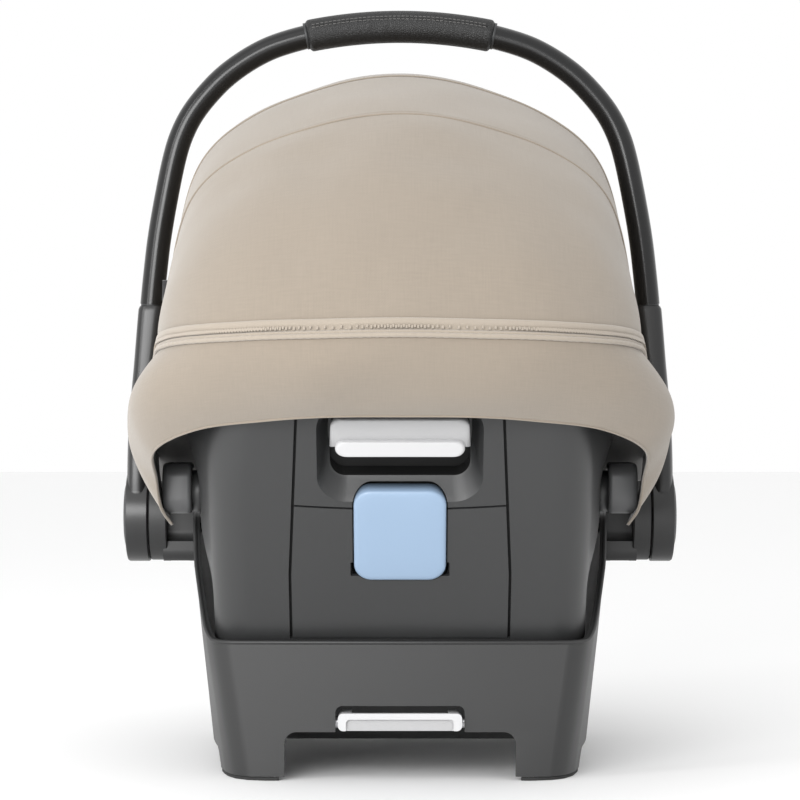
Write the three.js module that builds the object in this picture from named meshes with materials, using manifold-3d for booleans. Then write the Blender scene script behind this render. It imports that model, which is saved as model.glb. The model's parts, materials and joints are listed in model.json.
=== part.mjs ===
// Infant car seat: a padded bucket shell that reclines inside a footed cradle frame, with a
// swinging carry handle, a folding canopy, a five-point harness and its latches.
// Millimetres, +Z up, +Y towards the child's feet. The nested group "seat" has its origin on
// the hub axis, the line through both handle hubs.
import * as THREE from "three";
import { mergeVertices } from "three/addons/utils/BufferGeometryUtils.js";
import Module from "manifold-3d";

const wasm = await Module();
wasm.setup();

// ---- Driving dimensions ------------------------------------------------------------------
const HUB_Z = 191; // height of the hub axis above the ground
const HUB_Y = -4.3; // centres the bounding box on the origin
const TILT = THREE.MathUtils.degToRad(30); // the shell's back leans 30 degrees from upright
const SHELL_R = 178; // rocker radius about the hub axis
const SHELL_WALL = 4;
const SHELL_HALF_WIDTH = 140; // at the top of the bottom corner radius
const CORNER_R = 30;
const SIDE_DRAFT = 0.068;
const FLARE = { belt: 8, wing: 12 }; // how far the sides spread at the belt guides and above
const STATIONS = 36; // sections along the bucket
const PIVOT_R = 6.5; // recline and canopy pivot pins
const HUB_R = 37;
const GRIP_HALF = 73.6;
const TUBE = { radial: 9.5, deep: 12, wall: 1.6 };
const FABRIC = 2.5;
const GAP = { fit: 0.4, turn: 0.5 }; // beside a still piece, round a turning one
const WEBBING = 2.2;
const BACK_SURFACE = 112; // seating surface behind, measured from the hub axis
const LEG_SURFACE = 134; // and below

// ---- Materials -----------------------------------------------------------------------------
const material = (color, roughness, metalness = 0) =>
  new THREE.MeshStandardMaterial({ color, roughness, metalness });
const shellPlastic = material("#555757", 0.5);
const framePlastic = material("#515253", 0.5);
const darkPlastic = material("#2c2d2e", 0.55);
const handleMetal = material("#3b3c3e", 0.35, 0.6);
const gripLeather = material("#2b2b2c", 0.7);
const canopyFabric = material("#b9ab96", 0.9);
const zipTape = material("#cbbfab", 0.9);
const padFabric = material("#4b4a48", 0.95);
const foam = material("#e3e1dc", 0.9);
const webbing = material("#3a3a3b", 0.85);
const leverPlastic = material("#dcdcdc", 0.4);
const bluePlastic = material("#adc8e4", 0.4);
const redPlastic = material("#b8322c", 0.4);
const steel = material("#8d9093", 0.3, 1);
const rubber = material("#1f1f20", 0.9);

// ---- Mesh helpers --------------------------------------------------------------------------
const vec = (x, y, z) => new THREE.Vector3(x, y, z);

// Builds a geometry from points and faces, with its faces turned outwards.
function geometryFrom(points, faces) {
  let volume = 0;
  for (const [a, b, c] of faces)
    volume += points[a].dot(vec().crossVectors(points[b], points[c]));
  const order = volume < 0 ? faces.map(([a, b, c]) => [a, c, b]) : faces;
  const geometry = new THREE.BufferGeometry().setFromPoints(points);
  geometry.setIndex(order.flat());
  return geometry;
}

// Joins closed rings of equal size into a solid. The ends are closed by a fan, or by a strip
// where the ring is a thin band that doubles back on itself.
function loft(rings, cap = "fan") {
  const n = rings[0].length;
  const faces = [];
  for (let k = 0; k + 1 < rings.length; k++)
    for (let i = 0; i < n; i++) {
      const [a, b] = [k * n + i, k * n + ((i + 1) % n)];
      faces.push([a, b, b + n], [a, b + n, a + n]);
    }
  for (const [start, first] of [[0, true], [(rings.length - 1) * n, false]]) {
    const face = (a, b, c) => faces.push(first ? [a, c, b] : [a, b, c]);
    if (cap === "fan") for (let i = 1; i + 1 < n; i++) face(start, start + i, start + i + 1);
    else
      for (let i = 0; i + 1 < n / 2; i++) {
        const [a, b] = [start + i, start + i + 1];
        const [c, d] = [start + n - 2 - i, start + n - 1 - i];
        face(a, b, c);
        face(a, c, d);
      }
  }
  return geometryFrom(rings.flat(), faces);
}

// Joins rings into a wall that runs round and meets itself.
function closedLoft(rings) {
  const n = rings[0].length;
  const faces = [];
  for (let k = 0; k < rings.length; k++)
    for (let i = 0; i < n; i++) {
      const next = ((k + 1) % rings.length) * n;
      const [a, b] = [k * n + i, k * n + ((i + 1) % n)];
      const [c, d] = [next + ((i + 1) % n), next + i];
      faces.push([a, b, c], [a, c, d]);
    }
  return geometryFrom(rings.flat(), faces);
}

// The normal of a grid of points, from the differences between neighbours.
function gridNormal(grid, k, i) {
  const at = (a, b) =>
    grid[THREE.MathUtils.clamp(a, 0, grid.length - 1)][
      THREE.MathUtils.clamp(b, 0, grid[0].length - 1)
    ];
  const along = at(k + 1, i).clone().sub(at(k - 1, i));
  const across = at(k, i + 1).clone().sub(at(k, i - 1));
  return vec().crossVectors(across, along).normalize();
}

// A sheet of the given thickness behind a grid of points.
function sheet(grid, thickness) {
  const rings = grid.map((row, k) => {
    const back = row.map((p, i) => p.clone().addScaledVector(gridNormal(grid, k, i), -thickness));
    return [...row, ...back.reverse()];
  });
  return loft(rings, "strip");
}

// A flat strap along a line of points, lying across the given side direction.
function ribbon(points, side, width, thickness) {
  const rings = points.map((p, k) => {
    const before = points[Math.max(k - 1, 0)];
    const after = points[Math.min(k + 1, points.length - 1)];
    const along = after.clone().sub(before).normalize();
    const lift = vec().crossVectors(along, side).normalize().multiplyScalar(thickness / 2);
    const across = vec().crossVectors(lift, along).normalize().multiplyScalar(width / 2);
    return [[1, 1], [-1, 1], [-1, -1], [1, -1]].map(([s, t]) =>
      p.clone().addScaledVector(across, s).addScaledVector(lift, t),
    );
  });
  return loft(rings);
}

function toSolid(geometry) {
  const bare = geometry.clone();
  for (const name of Object.keys(bare.attributes)) if (name !== "position") bare.deleteAttribute(name);
  const merged = mergeVertices(bare, 1e-3);
  return new wasm.Manifold(
    new wasm.Mesh({
      numProp: 3,
      vertProperties: merged.attributes.position.array,
      triVerts: new Uint32Array(merged.index.array),
    }),
  );
}

function toGeometry(solid) {
  const made = solid.getMesh();
  const geometry = new THREE.BufferGeometry();
  geometry.setAttribute("position", new THREE.BufferAttribute(made.vertProperties, 3));
  geometry.setIndex(new THREE.BufferAttribute(made.triVerts, 1));
  return geometry;
}

const cut = (body, ...tools) =>
  toGeometry(tools.reduce((solid, tool) => solid.subtract(toSolid(tool)), toSolid(body)));
const join = (body, ...others) =>
  toGeometry(others.reduce((solid, other) => solid.add(toSolid(other)), toSolid(body)));
const keep = (body, tool) => toGeometry(toSolid(body).intersect(toSolid(tool)));

function mirrorX(geometry) {
  const copy = geometry.clone().scale(-1, 1, 1);
  const count = copy.attributes.position.count;
  const index = copy.index ? [...copy.index.array] : Array.from({ length: count }, (_, i) => i);
  for (let i = 0; i < index.length; i += 3)
    [index[i + 1], index[i + 2]] = [index[i + 2], index[i + 1]];
  return copy.setIndex(index);
}

// A block between two limits on each axis.
const box = (x, y, z) =>
  new THREE.BoxGeometry(x[1] - x[0], y[1] - y[0], z[1] - z[0]).translate(
    (x[0] + x[1]) / 2,
    (y[0] + y[1]) / 2,
    (z[0] + z[1]) / 2,
  );

function roundedRectangle(x, z, radius) {
  const shape = new THREE.Shape();
  const [left, right, low, high] = [x[0] + radius, x[1] - radius, z[0] + radius, z[1] - radius];
  shape.absarc(right, low, radius, -Math.PI / 2, 0);
  shape.absarc(right, high, radius, 0, Math.PI / 2);
  shape.absarc(left, high, radius, Math.PI / 2, Math.PI);
  shape.absarc(left, low, radius, Math.PI, Math.PI * 1.5);
  return shape;
}

// A shape drawn in X and Z, filled from one Y to another.
const plateY = (shape, y, curveSegments = 3) =>
  new THREE.ExtrudeGeometry(shape, { depth: y[1] - y[0], bevelEnabled: false, curveSegments })
    .rotateX(Math.PI / 2)
    .translate(0, y[1], 0);

// A shape drawn in Y and Z, filled from one X to another.
const plateX = (shape, x, curveSegments = 3) =>
  new THREE.ExtrudeGeometry(shape, { depth: x[1] - x[0], bevelEnabled: false, curveSegments })
    .rotateX(Math.PI / 2)
    .rotateZ(Math.PI / 2)
    .translate(x[0], 0, 0);

// A turned piece about the X axis from a closed profile of [radius, x] points.
function turned(profile, segments = 24) {
  const points = profile.map(([r, x]) => new THREE.Vector2(r, x));
  return new THREE.LatheGeometry(points, segments).rotateZ(-Math.PI / 2);
}

const disc = (radius, x, segments = 24) =>
  new THREE.CylinderGeometry(radius, radius, x[1] - x[0], segments)
    .rotateZ(Math.PI / 2)
    .translate((x[0] + x[1]) / 2, 0, 0);

// Straight interpolation through a list of [key, value] pairs.
function table(pairs) {
  return (key) => {
    const last = pairs.length - 1;
    if (key <= pairs[0][0]) return pairs[0][1];
    for (let i = 0; i < last; i++)
      if (key <= pairs[i + 1][0])
        return THREE.MathUtils.mapLinear(key, pairs[i][0], pairs[i + 1][0], pairs[i][1], pairs[i + 1][1]);
    return pairs[last][1];
  };
}

// ---- Assembly groups -----------------------------------------------------------------------
const carSeat = new THREE.Group();
const seat = new THREE.Group(); // level, origin on the hub axis
seat.position.set(0, HUB_Y, HUB_Z);
const tilted = new THREE.Group(); // leans with the shell: its back lies at -Y, its seat at -Z
tilted.rotation.x = TILT;
seat.add(tilted);
carSeat.add(seat);

function add(name, geometry, finish, parent = seat) {
  const mesh = new THREE.Mesh(geometry, finish);
  mesh.name = name;
  parent.add(mesh);
}

function addPair(name, geometry, finish, parent = seat) {
  add(name + "_right", geometry, finish, parent);
  add(name + "_left", mirrorX(geometry), finish, parent);
}

// ---- Bucket shapes: shell, foam liner and seat pad -----------------------------------------
// In the tilted group the side profile is a back line, a rocker arc and a leg line; the rim
// is a curve above it. A form's insets measure how far it lies inside the shell.
const RIM = [[-90, 244], [-80, 202], [-55, 124], [-22, 61], [30, 12], [105, -38], [185, -79],
  [232, -101]];

function sideProfile({ back, leg, bend, inset }) {
  const head = new THREE.Vector2(-112 + 0.7 * inset, 298 - inset);
  const foot = new THREE.Vector2(289 - inset, -138 + 0.9 * inset);
  const path = new THREE.Path();
  path.moveTo(head.x, head.y);
  path.quadraticCurveTo(-back, head.y, -back, head.y - 76);
  path.lineTo(-back, bend - leg);
  path.absarc(bend - back, bend - leg, bend, Math.PI, Math.PI * 1.5);
  path.lineTo(foot.x - 48, -leg);
  path.quadraticCurveTo(foot.x + 14, -leg, foot.x, foot.y);
  const rim = new THREE.SplineCurve([head, ...RIM.map(([y, z]) => new THREE.Vector2(y, z)), foot]);
  return { path, rim };
}

// How much wider the shell is behind and above the hubs, at a point of the tilted group.
function flare(y, z, depth) {
  const { smoothstep } = THREE.MathUtils;
  const behind = -(y * Math.cos(TILT) - z * Math.sin(TILT));
  const height = y * Math.sin(TILT) + z * Math.cos(TILT);
  const spread = FLARE.belt * smoothstep(height, -60, 0) + FLARE.wing * smoothstep(height, 25, 90);
  return spread * smoothstep(behind, 30, 85) * smoothstep(depth, 5, 85);
}

// Rows of points from the left rim, under the seat, to the right rim.
function bucketSurface(form) {
  const { path, rim } = sideProfile(form);
  const line = path.getSpacedPoints(240);
  const depthOf = (p) => Math.min(...line.map((q) => q.distanceTo(p)));
  const { halfWidth, corner } = form;
  const widthAt = (depth) =>
    depth >= corner
      ? halfWidth + (depth - corner) * SIDE_DRAFT
      : halfWidth - corner + corner * Math.sqrt(1 - ((corner - depth) / corner) ** 2);
  const rows = [];
  for (let k = 0; k <= STATIONS; k++) {
    const even = k / STATIONS;
    const eased = (1 - Math.cos(Math.PI * even)) / 2;
    const u = 0.005 + 0.99 * (0.5 * even + 0.5 * eased);
    const bottom = path.getPointAt(u);
    const top = rim.getPointAt(u);
    const length = bottom.distanceTo(top);
    const bendLength = Math.min(corner, 0.6 * length);
    const sideStep = (length - bendLength) / 3;
    const steps = [0, 0, 0, 0.134 * bendLength, 0.5 * bendLength, bendLength,
      bendLength + sideStep, length - sideStep, length];
    const roundHead = Math.sqrt(1 - (1 - Math.min(u / 0.24, 1)) ** 2);
    const roundFoot = (1 - Math.max(2 * u - 1, 0) ** 6) ** (1 / 6);
    const half = steps.map((step, i) => {
      const p = bottom.clone().lerp(top, step / length);
      const footTaper = 1 - 0.1 * THREE.MathUtils.smoothstep(p.x, 60, 300);
      const depth = depthOf(p);
      const full = (widthAt(depth) + flare(p.x, p.y, depth)) * roundHead * roundFoot * footTaper;
      return vec(i < 3 ? (full * i) / 2 : full, p.x, p.y);
    });
    const left = half.slice(1).reverse().map((p) => vec(-p.x, p.y, p.z));
    rows.push([...left, ...half]);
  }
  return rows;
}

function bucket(outer, inner) {
  const inside = bucketSurface(inner);
  return loft(bucketSurface(outer).map((row, k) => [...row, ...inside[k].reverse()]), "strip");
}

const shellForm = (inset) => ({
  back: SHELL_R - inset,
  leg: SHELL_R - inset,
  bend: SHELL_R - inset,
  inset,
  halfWidth: SHELL_HALF_WIDTH - inset,
  corner: CORNER_R - inset / 2,
});
const cushionForm = (back, leg, bend, inset) => ({
  back,
  leg,
  bend,
  inset,
  halfWidth: SHELL_HALF_WIDTH - inset,
  corner: 26,
});

// ---- Back panel ----------------------------------------------------------------------------
const PANEL = { low: 4, split: 120, high: 232, lowHalf: 81, topHalf: 74, gap: 0.8, thick: 3 };
const RECESS = { half: 58, low: 126, high: 202, depth: 24, wall: 3 };
const WELL = { half: 36, low: 52, depth: 17, wall: 2.4 };
const PADDLE = { half: 33.7, low: 56.5, high: 133.5, radius: 13 };
const LEVER = { half: 49, topHalf: 44, low: 162, high: 194 };

// The panel's outline between two heights, grown by a margin.
function panelOutline(low, high, grow = 0) {
  const half = table([[60, PANEL.lowHalf + grow], [200, PANEL.topHalf + grow]]);
  const heights = [low, 60, high].filter((z) => z >= low && z <= high);
  const right = heights.map((z) => new THREE.Vector2(half(z), z));
  const left = [...heights].reverse().map((z) => new THREE.Vector2(-half(z), z));
  return new THREE.Shape([...right, ...left]);
}

const paddleOutline = (grow) =>
  roundedRectangle(
    [-PADDLE.half - grow, PADDLE.half + grow],
    [PADDLE.low - grow, PADDLE.high + grow],
    PADDLE.radius + grow,
  );

function shellAndPanel() {
  const outline = panelOutline(PANEL.low - PANEL.gap, PANEL.high + PANEL.gap, PANEL.gap);
  const window = plateY(outline, [-SHELL_R - 20, -SHELL_R + 18]);
  const pivotHoles = disc(PIVOT_R + GAP.turn, [-170, 170], 16);
  add("shell", cut(bucket(shellForm(0), shellForm(SHELL_WALL)), window, pivotHoles), shellPlastic, tilted);

  const face = -SHELL_R;
  const { half, low, high, depth, wall } = RECESS;
  const upper = plateY(panelOutline(PANEL.split + PANEL.gap / 2, PANEL.high), [face, face + PANEL.thick]);
  const tray = box([-half - wall, half + wall], [face, face + depth + wall], [low - wall, high + wall]);
  const hollow = box([-half, half], [face - 1, face + depth], [low, high]);
  const slope = new THREE.Shape([
    new THREE.Vector2(face, low - 1),
    new THREE.Vector2(face + depth + 1, low - 1),
    new THREE.Vector2(face + depth + 1, low + 27),
    new THREE.Vector2(face, low),
  ]);
  const paddleHole = plateY(paddleOutline(0.8), [face - 5, face + 15]);
  const withRecess = cut(join(upper, tray), hollow);
  const bezel = cut(join(withRecess, plateX(slope, [-half - 1, half + 1])), paddleHole);
  add("back_bezel", bezel, shellPlastic, tilted);

  const lower = plateY(panelOutline(PANEL.low, PANEL.split - PANEL.gap / 2), [face, face + PANEL.thick]);
  const wellTop = PANEL.split - PANEL.gap / 2 - 0.3;
  const wellBox = box(
    [-WELL.half - WELL.wall, WELL.half + WELL.wall],
    [face + 1, face + WELL.depth + WELL.wall],
    [WELL.low - WELL.wall, wellTop],
  );
  const wellHollow = box(
    [-WELL.half, WELL.half],
    [face + PANEL.thick, face + WELL.depth],
    [WELL.low, wellTop + 9],
  );
  add("back_cover", cut(join(lower, wellBox), wellHollow, paddleHole), shellPlastic, tilted);

  // Release paddle: a slightly crowned plate with a stiffening rim, hinged at its top edge.
  const paddle = cut(
    plateY(paddleOutline(0), [face - 1.2, face + 6], 4),
    box([-27, 27], [face + 1.3, face + 7], [62.5, 127.5]),
  );
  add("release_button", paddle, bluePlastic, tilted);

  // Recline lever: a pull plate with a finger lip at its lower edge.
  const pull = new THREE.Shape([
    new THREE.Vector2(-LEVER.half, LEVER.low + 5),
    new THREE.Vector2(-LEVER.half + 5, LEVER.low),
    new THREE.Vector2(LEVER.half - 5, LEVER.low),
    new THREE.Vector2(LEVER.half, LEVER.low + 5),
    new THREE.Vector2(LEVER.topHalf, LEVER.high),
    new THREE.Vector2(-LEVER.topHalf, LEVER.high),
  ]);
  const pullBlank = plateY(pull, [face - 6, face + 5]);
  const behind = box(
    [-LEVER.half + 5, LEVER.half - 5],
    [face - 3, face + 6],
    [LEVER.low - 1, LEVER.high - 8],
  );
  add("recline_lever", cut(pullBlank, behind), leverPlastic, tilted);
  
  // Steel rail behind the panel that the recline latch runs along.
  add("recline_rail", box([-9, 9], [face + 28, face + 30.5], [14, 196]), steel, tilted);
}

function linerAndPad() {
  const liner = bucket(shellForm(SHELL_WALL + 3.4), cushionForm(131, 151, 112, 13));
  const cavity = box([-88, 88], [-SHELL_R, -SHELL_R + 33], [-14, PANEL.high + 6]);
  add("foam_liner", cut(liner, cavity), foam, tilted);
  const outer = cushionForm(129, 149, 110, 15.8);
  add("seat_pad", bucket(outer, cushionForm(BACK_SURFACE, LEG_SURFACE, 95, 24)), padFabric, tilted);

  // Head support: a cushion with a wing at each side of the head.
  const back = -BACK_SURFACE + GAP.fit;
  const outerHalf = [[0, 0], [78, 0], [100, 22], [104, 50], [96, 60]];
  const innerHalf = [[0, 17], [58, 19], [74, 28], [80, 50], [88, 60]];
  const across = (half) => [...half.slice(1).reverse().map(([x, y]) => [-x, y]), ...half];
  const ring = (z, scale) =>
    [...across(outerHalf), ...across(innerHalf).reverse()].map(([x, y]) =>
      vec(x * scale, back + y * scale, z));
  const heights = [[98, 0.86], [110, 0.97], [158, 1], [184, 0.94], [196, 0.78]];
  add("head_support", loft(heights.map(([z, scale]) => ring(z, scale)), "strip"), padFabric, tilted);
}

// ---- Belt guides on the shell's sides ------------------------------------------------------
const GUIDE_GAP = 2.4; // between a guide's neck and the shell's slanted side

function beltGuides() {
  const knob = plateX(roundedRectangle([-115, -75], [5, 44], 12), [158.5, 181]);
  const neck = box([145, 159], [-104, -86], [8, 24]);
  const shellSide = bucket(shellForm(-GUIDE_GAP), shellForm(20)).rotateX(TILT);
  addPair("belt_guide", cut(join(knob, neck), shellSide), shellPlastic);
}

// ---- Cradle frame --------------------------------------------------------------------------
const FRAME = { rear: -166, front: 165, wall: 4 };
const PAD_HEIGHT = 2.4; // rubber pads under the four corners
const REAR_ROD = { y: -150, z: 42 };
const FRONT_ROD_Y = 149;
// Plan of the right half from the rear centre to the front centre: [share of half width, Y].
const FRAME_PLAN = [[0, -166], [0.42, -166], [0.8, -165.6], [0.9, -162], [0.965, -153], [0.995, -138],
  [1, -122], [1, -105], [1, -88], [1, -72], [1, -55], [1, -30], [1, 0], [1, 30], [1, 60], [1, 95],
  [1, 125], [0.985, 143], [0.95, 156], [0.88, 163], [0.75, 165], [0.4, 165], [0, 165]];
const frameTop = table([[-166, -87], [-150, -86.5], [-138, -81], [-122, -70], [-105, -56], [-88, -40],
  [-72, -22], [-55, -3], [-30, 4], [30, 5], [60, -18], [95, -62], [125, -96], [150, -114], [165, -119]]);
const frameRearHalf = table([[-191, 125], [-87, 142], [8, 150]]);
const frameMidHalf = table([[-191, 146], [-36, 162]]);
const frameFrontHalf = table([[-191, 143], [-80, 150]]);

function framePoint(share, y, z) {
  const fromRear = THREE.MathUtils.clamp((y - FRAME.rear) / -FRAME.rear, 0, 1);
  const towardsHub = Math.sin((Math.PI / 2) * fromRear);
  const half =
    y < 0
      ? THREE.MathUtils.lerp(frameRearHalf(z), frameMidHalf(z), towardsHub)
      : THREE.MathUtils.lerp(frameMidHalf(z), frameFrontHalf(z), (y / FRAME.front) ** 2);
  return vec(share * half, y, z);
}

function cradleFrame() {
  const mirrored = FRAME_PLAN.slice(1, -1).reverse().map(([share, y]) => [-share, y]);
  const plan = [...FRAME_PLAN, ...mirrored];
  const count = plan.length;
  const rings = plan.map(([share, y], k) => {
    const top = frameTop(y);
    const levels = [-HUB_Z, (top - HUB_Z) / 2, top];
    const place = (j, z) => framePoint(...plan[(j + count) % count], z);
    const outer = levels.map((z) => framePoint(share, y, z));
    const inner = levels.map((z, level) => {
      const along = place(k + 1, z).sub(place(k - 1, z)).setZ(0).normalize();
      return outer[level].clone().add(vec(-along.y, along.x, 0).multiplyScalar(FRAME.wall));
    });
    return [...outer, ...inner.reverse()];
  });
  const wall = closedLoft(rings);
  const arch = (half, height, radius) =>
    roundedRectangle([-half, half], [-HUB_Z - 40, -HUB_Z + height], radius);
  const rearArch = plateY(arch(86, 36, 9), [-180, -120]);
  const frontArch = plateY(arch(101, 30, 9), [120, 180]);
  const sideArch = plateX(arch(108, 18, 9), [-190, 190]);
  const leverNotch = plateY(
    roundedRectangle([-48, 48], [-HUB_Z + 20, -HUB_Z + 55.5], 5),
    [-180, -120],
  );
  const pivotNotch = box([-170, 170], [-30, 15], [-14, 20]);
  const rodHoles = [REAR_ROD.y, FRONT_ROD_Y].map((y) =>
    disc(4.9, [-170, 170], 10).translate(0, y, REAR_ROD.z - HUB_Z));
  const corners = { rear: [[90, 150], [-180, -112]], front: [[105, 170], [112, 180]] };
  const floorSlab = box([-200, 200], [-200, 200], [-HUB_Z - 5, -HUB_Z + PAD_HEIGHT + GAP.fit]);
  add(
    "cradle_frame",
    cut(wall, rearArch, frontArch, sideArch, leverNotch, pivotNotch, floorSlab, ...rodHoles),
    framePlastic,
  );
  for (const [name, [x, y]] of Object.entries(corners)) {
    const place = box(x, y, [-HUB_Z - 1, -HUB_Z + PAD_HEIGHT]);
    addPair("foot_pad_" + name, keep(wall, place), rubber);
  }
  for (const [name, y, half] of [["rear", REAR_ROD.y, 119], ["front", FRONT_ROD_Y, 137]])
    add(
      "latch_rod_" + name,
      disc(4.4, [-half, half], 10).translate(0, y, REAR_ROD.z - HUB_Z),
      steel,
    );

  // Base release lever: a U-shaped grip in the rear arch that turns on the rear rod.
  const grip = cut(
    plateY(roundedRectangle([-46, 46], [-HUB_Z + 37.5, -HUB_Z + 50.5], 4), [-172, -142]),
    box([-37, 37], [-166.5, -130], [-HUB_Z + 30, -HUB_Z + 60]),
    disc(4.4 + GAP.turn, [-60, 60], 10).translate(0, REAR_ROD.y, REAR_ROD.z - HUB_Z),
  );
  add("base_release_lever", grip, leverPlastic);
}

// ---- Hubs ----------------------------------------------------------------------------------
const HUB = {
  bossInner: 184, bossOuter: 198.4, housingInner: 199, housingOuter: 217, buttonOuter: 219,
  gearR: 24, cavityR: 25, stemR: 5, spigotIn: 28, spigotOut: 31, buttonR: 28,
};

function hubs() {
  const boss = disc(HUB_R - 1, [HUB.bossInner, HUB.bossOuter], 24);
  const bracket = plateX(roundedRectangle([-25, 25], [-36, 8], 4), [163, HUB.bossInner + 1]);
  const socket = box([167, 182], [-18, 18], [-40, -22]);
  const cavity = disc(HUB.cavityR, [188, 200], 24);
  const groove = turned([[27.5, 192], [31.5, 192], [31.5, 200], [27.5, 200], [27.5, 192]]);
  const pinHole = disc(PIVOT_R + 0.4, [150, 172], 16);
  addPair("hub_boss", cut(join(boss, bracket), cavity, groove, socket, pinHole), framePlastic);
  addPair("pivot_pin", disc(PIVOT_R, [146.6, 171.5], 16), steel);

  // Lock gear: a toothed wheel that the button pushes out of the housing.
  const teeth = new THREE.Shape();
  const toothCount = 12;
  for (let i = 0; i < toothCount; i++)
    for (const [offset, inward] of [[0.08, 3.5], [0.3, 0.4], [0.62, 0.4], [0.84, 3.5]]) {
      const r = HUB.gearR - inward;
      const angle = ((i + offset) / toothCount) * 2 * Math.PI;
      const [y, z] = [r * Math.cos(angle), r * Math.sin(angle)];
      if (i === 0 && offset < 0.1) teeth.moveTo(y, z);
      else teeth.lineTo(y, z);
    }
  teeth.closePath();
  addPair("lock_gear", plateX(teeth, [193.2, 202.4]), darkPlastic);

  // Sprung coil behind the gear, drawn as a bellows of constant wall.
  const coil = [[12, 188.5], [14, 188.5], [16, 190.6], [14, 192.7], [12, 192.7], [14, 190.6],
    [12, 188.5]];
  addPair("gear_spring", turned(coil, 16), steel);

  // Handle button: a disc in the housing's outer face on a stem that reaches the gear.
  const button = join(
    disc(HUB.buttonR - 0.6, [212, 218.2], 24),
    disc(24, [218, HUB.buttonOuter], 24),
    disc(HUB.stemR, [202.8, 212.5], 12),
  );
  addPair("handle_button", button, darkPlastic);
}

// ---- Carry handle --------------------------------------------------------------------------
// Centreline of the right half: [height above the hub axis, X].
const HANDLE_LINE = [[168, 198.2], [188, 196.3], [220, 192.6], [252, 187.2], [284, 180.6],
  [304, 174.4], [322, 165], [340, 150.5], [354, 135.5], [367, 116], [376, 96], [384, 66],
  [388.3, 34], [390, 0]];

// An oval section round each point of a line, between the in-plane normal and Y.
function ovalLoft(line, radial, deep, count) {
  const rings = line.map((p, k) => {
    const ahead = line[Math.min(k + 1, line.length - 1)];
    const along = ahead.clone().sub(line[Math.max(k - 1, 0)]).normalize();
    const across = vec(along.z, 0, -along.x);
    return Array.from({ length: count }, (_, i) => {
      const angle = ((i + 0.5) / count) * 2 * Math.PI;
      return p.clone().addScaledVector(across, Math.cos(angle) * radial)
        .add(vec(0, Math.sin(angle) * deep, 0));
    });
  });
  return loft(rings);
}

function handle() {
  const half = HANDLE_LINE.map(([z, x]) => vec(x, 0, z));
  const line = [...half, ...half.slice(0, -1).reverse().map((p) => vec(-p.x, 0, p.z))];
  const longer = [vec(198.6, 0, 158), ...line, vec(-198.6, 0, 158)];
  const { radial, deep, wall } = TUBE;
  const tube = cut(
    ovalLoft(line, radial, deep, 12),
    ovalLoft(longer, radial - wall, deep - wall, 12),
  );
  add("handle_tube", tube, handleMetal);

  const gripLine = [-1, -0.6, -0.2, 0.2, 0.6, 1].map((t) => {
    const x = t * GRIP_HALF;
    return vec(x, 0, 390.2 - 7.5 * t * t);
  });
  const bore = [vec(-100, 0, 375.3), ...line.slice(10, 17).reverse(), vec(100, 0, 375.3)];
  const tunnel = ovalLoft(bore, radial + 0.5, deep + 0.5, 12);
  add("handle_grip", cut(ovalLoft(gripLine, 12.7, 16, 14), tunnel), gripLeather);

  // Lower arm: a housing at the hub that narrows upwards to a spigot inside the tube.
  const armLine = [[0, 208, 9, 33], [45, 208, 9, 30], [80, 206, 9.4, 24], [120, 202.6, 9.8, 17],
    [150, 200, 10.2, 14], [166.4, 198.4, 10.4, 13]];
  const octagon = [[-1, -0.8], [-0.8, -1], [0.8, -1], [1, -0.8], [1, 0.8], [0.8, 1], [-0.8, 1],
    [-1, 0.8]];
  const rings = armLine.map(([z, x, halfX, halfY]) =>
    octagon.map(([s, t]) => vec(x + s * halfX, t * halfY, z)));
  const { spigotIn, spigotOut } = HUB;
  const spigotLine = [vec(198.6, 0, 160), vec(198.2, 0, 168), vec(196.9, 0, 182)];
  const housing = join(
    disc(HUB_R, [HUB.housingInner, HUB.housingOuter]),
    keep(loft(rings), box([199, 240], [-60, 60], [-60, 110])),
    keep(loft(rings), box([150, 240], [-60, 60], [60, 200])),
    ovalLoft(spigotLine, radial - wall - 0.4, deep - wall - 0.4, 12),
    turned([[spigotIn, 193], [spigotOut, 193], [spigotOut, 201], [spigotIn, 201], [spigotIn, 193]]),
  );
  const arm = cut(
    housing,
    disc(HUB.cavityR, [190, 203.4]),
    disc(HUB.stemR + 0.4, [200, 215], 12),
    disc(HUB.buttonR, [207.5, 225]),
  );
  addPair("handle_arm", arm, framePlastic);
}

// ---- Canopy --------------------------------------------------------------------------------
// Every part is a shape of [radius about the hub axis, X] swept through angles measured
// rearwards from upright.
const BOW = [[40, 176], [75, 180.5], [120, 182], [190, 178], [240, 170], [274, 159], [297, 142],
  [315, 117], [329, 87], [343, 41], [347.5, 0]];
// The zipper lies on a boxier line than the bows, with its corners pushed outwards.
const ZIP_LINE = [[40, 176], [80, 181], [120, 182.5], [190, 181], [240, 176], [274, 168], [297, 156],
  [315, 137.5], [329, 113.5], [340, 76], [347.5, 0]];
const BOWS = { rear: 28, mid: 10, front: -36 };
const apexScale = table([[-36, 1.027], [-5, 1.032], [10, 1.006], [28, 0.992], [66, 1]]);
const zipAngle = table([[60, 38], [120, 42], [141, 45.3], [190, 51.5], [240, 57], [274, 60.5],
  [297, 62.5], [315, 64], [329, 65], [343, 65.8], [348, 66]]);
const degrees = THREE.MathUtils.degToRad;

function onCanopy(r, x, angle) {
  const scaled = r > 60 ? 60 + (r - 60) * apexScale(angle) : r;
  return vec(x, -scaled * Math.sin(degrees(angle)), scaled * Math.cos(degrees(angle)));
}

const bothSides = (half) => [
  ...half.map(([r, x]) => [r, -x]),
  ...half.slice(0, -1).reverse(),
];

// A panel through rows of [outline, angle at a radius].
function canopyPanel(name, rows) {
  const grid = rows.map(([line, angleAt]) =>
    bothSides(line).map(([r, x]) => onCanopy(r, x, angleAt(r))));
  add(name, sheet(grid, FABRIC), canopyFabric);
}

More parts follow.
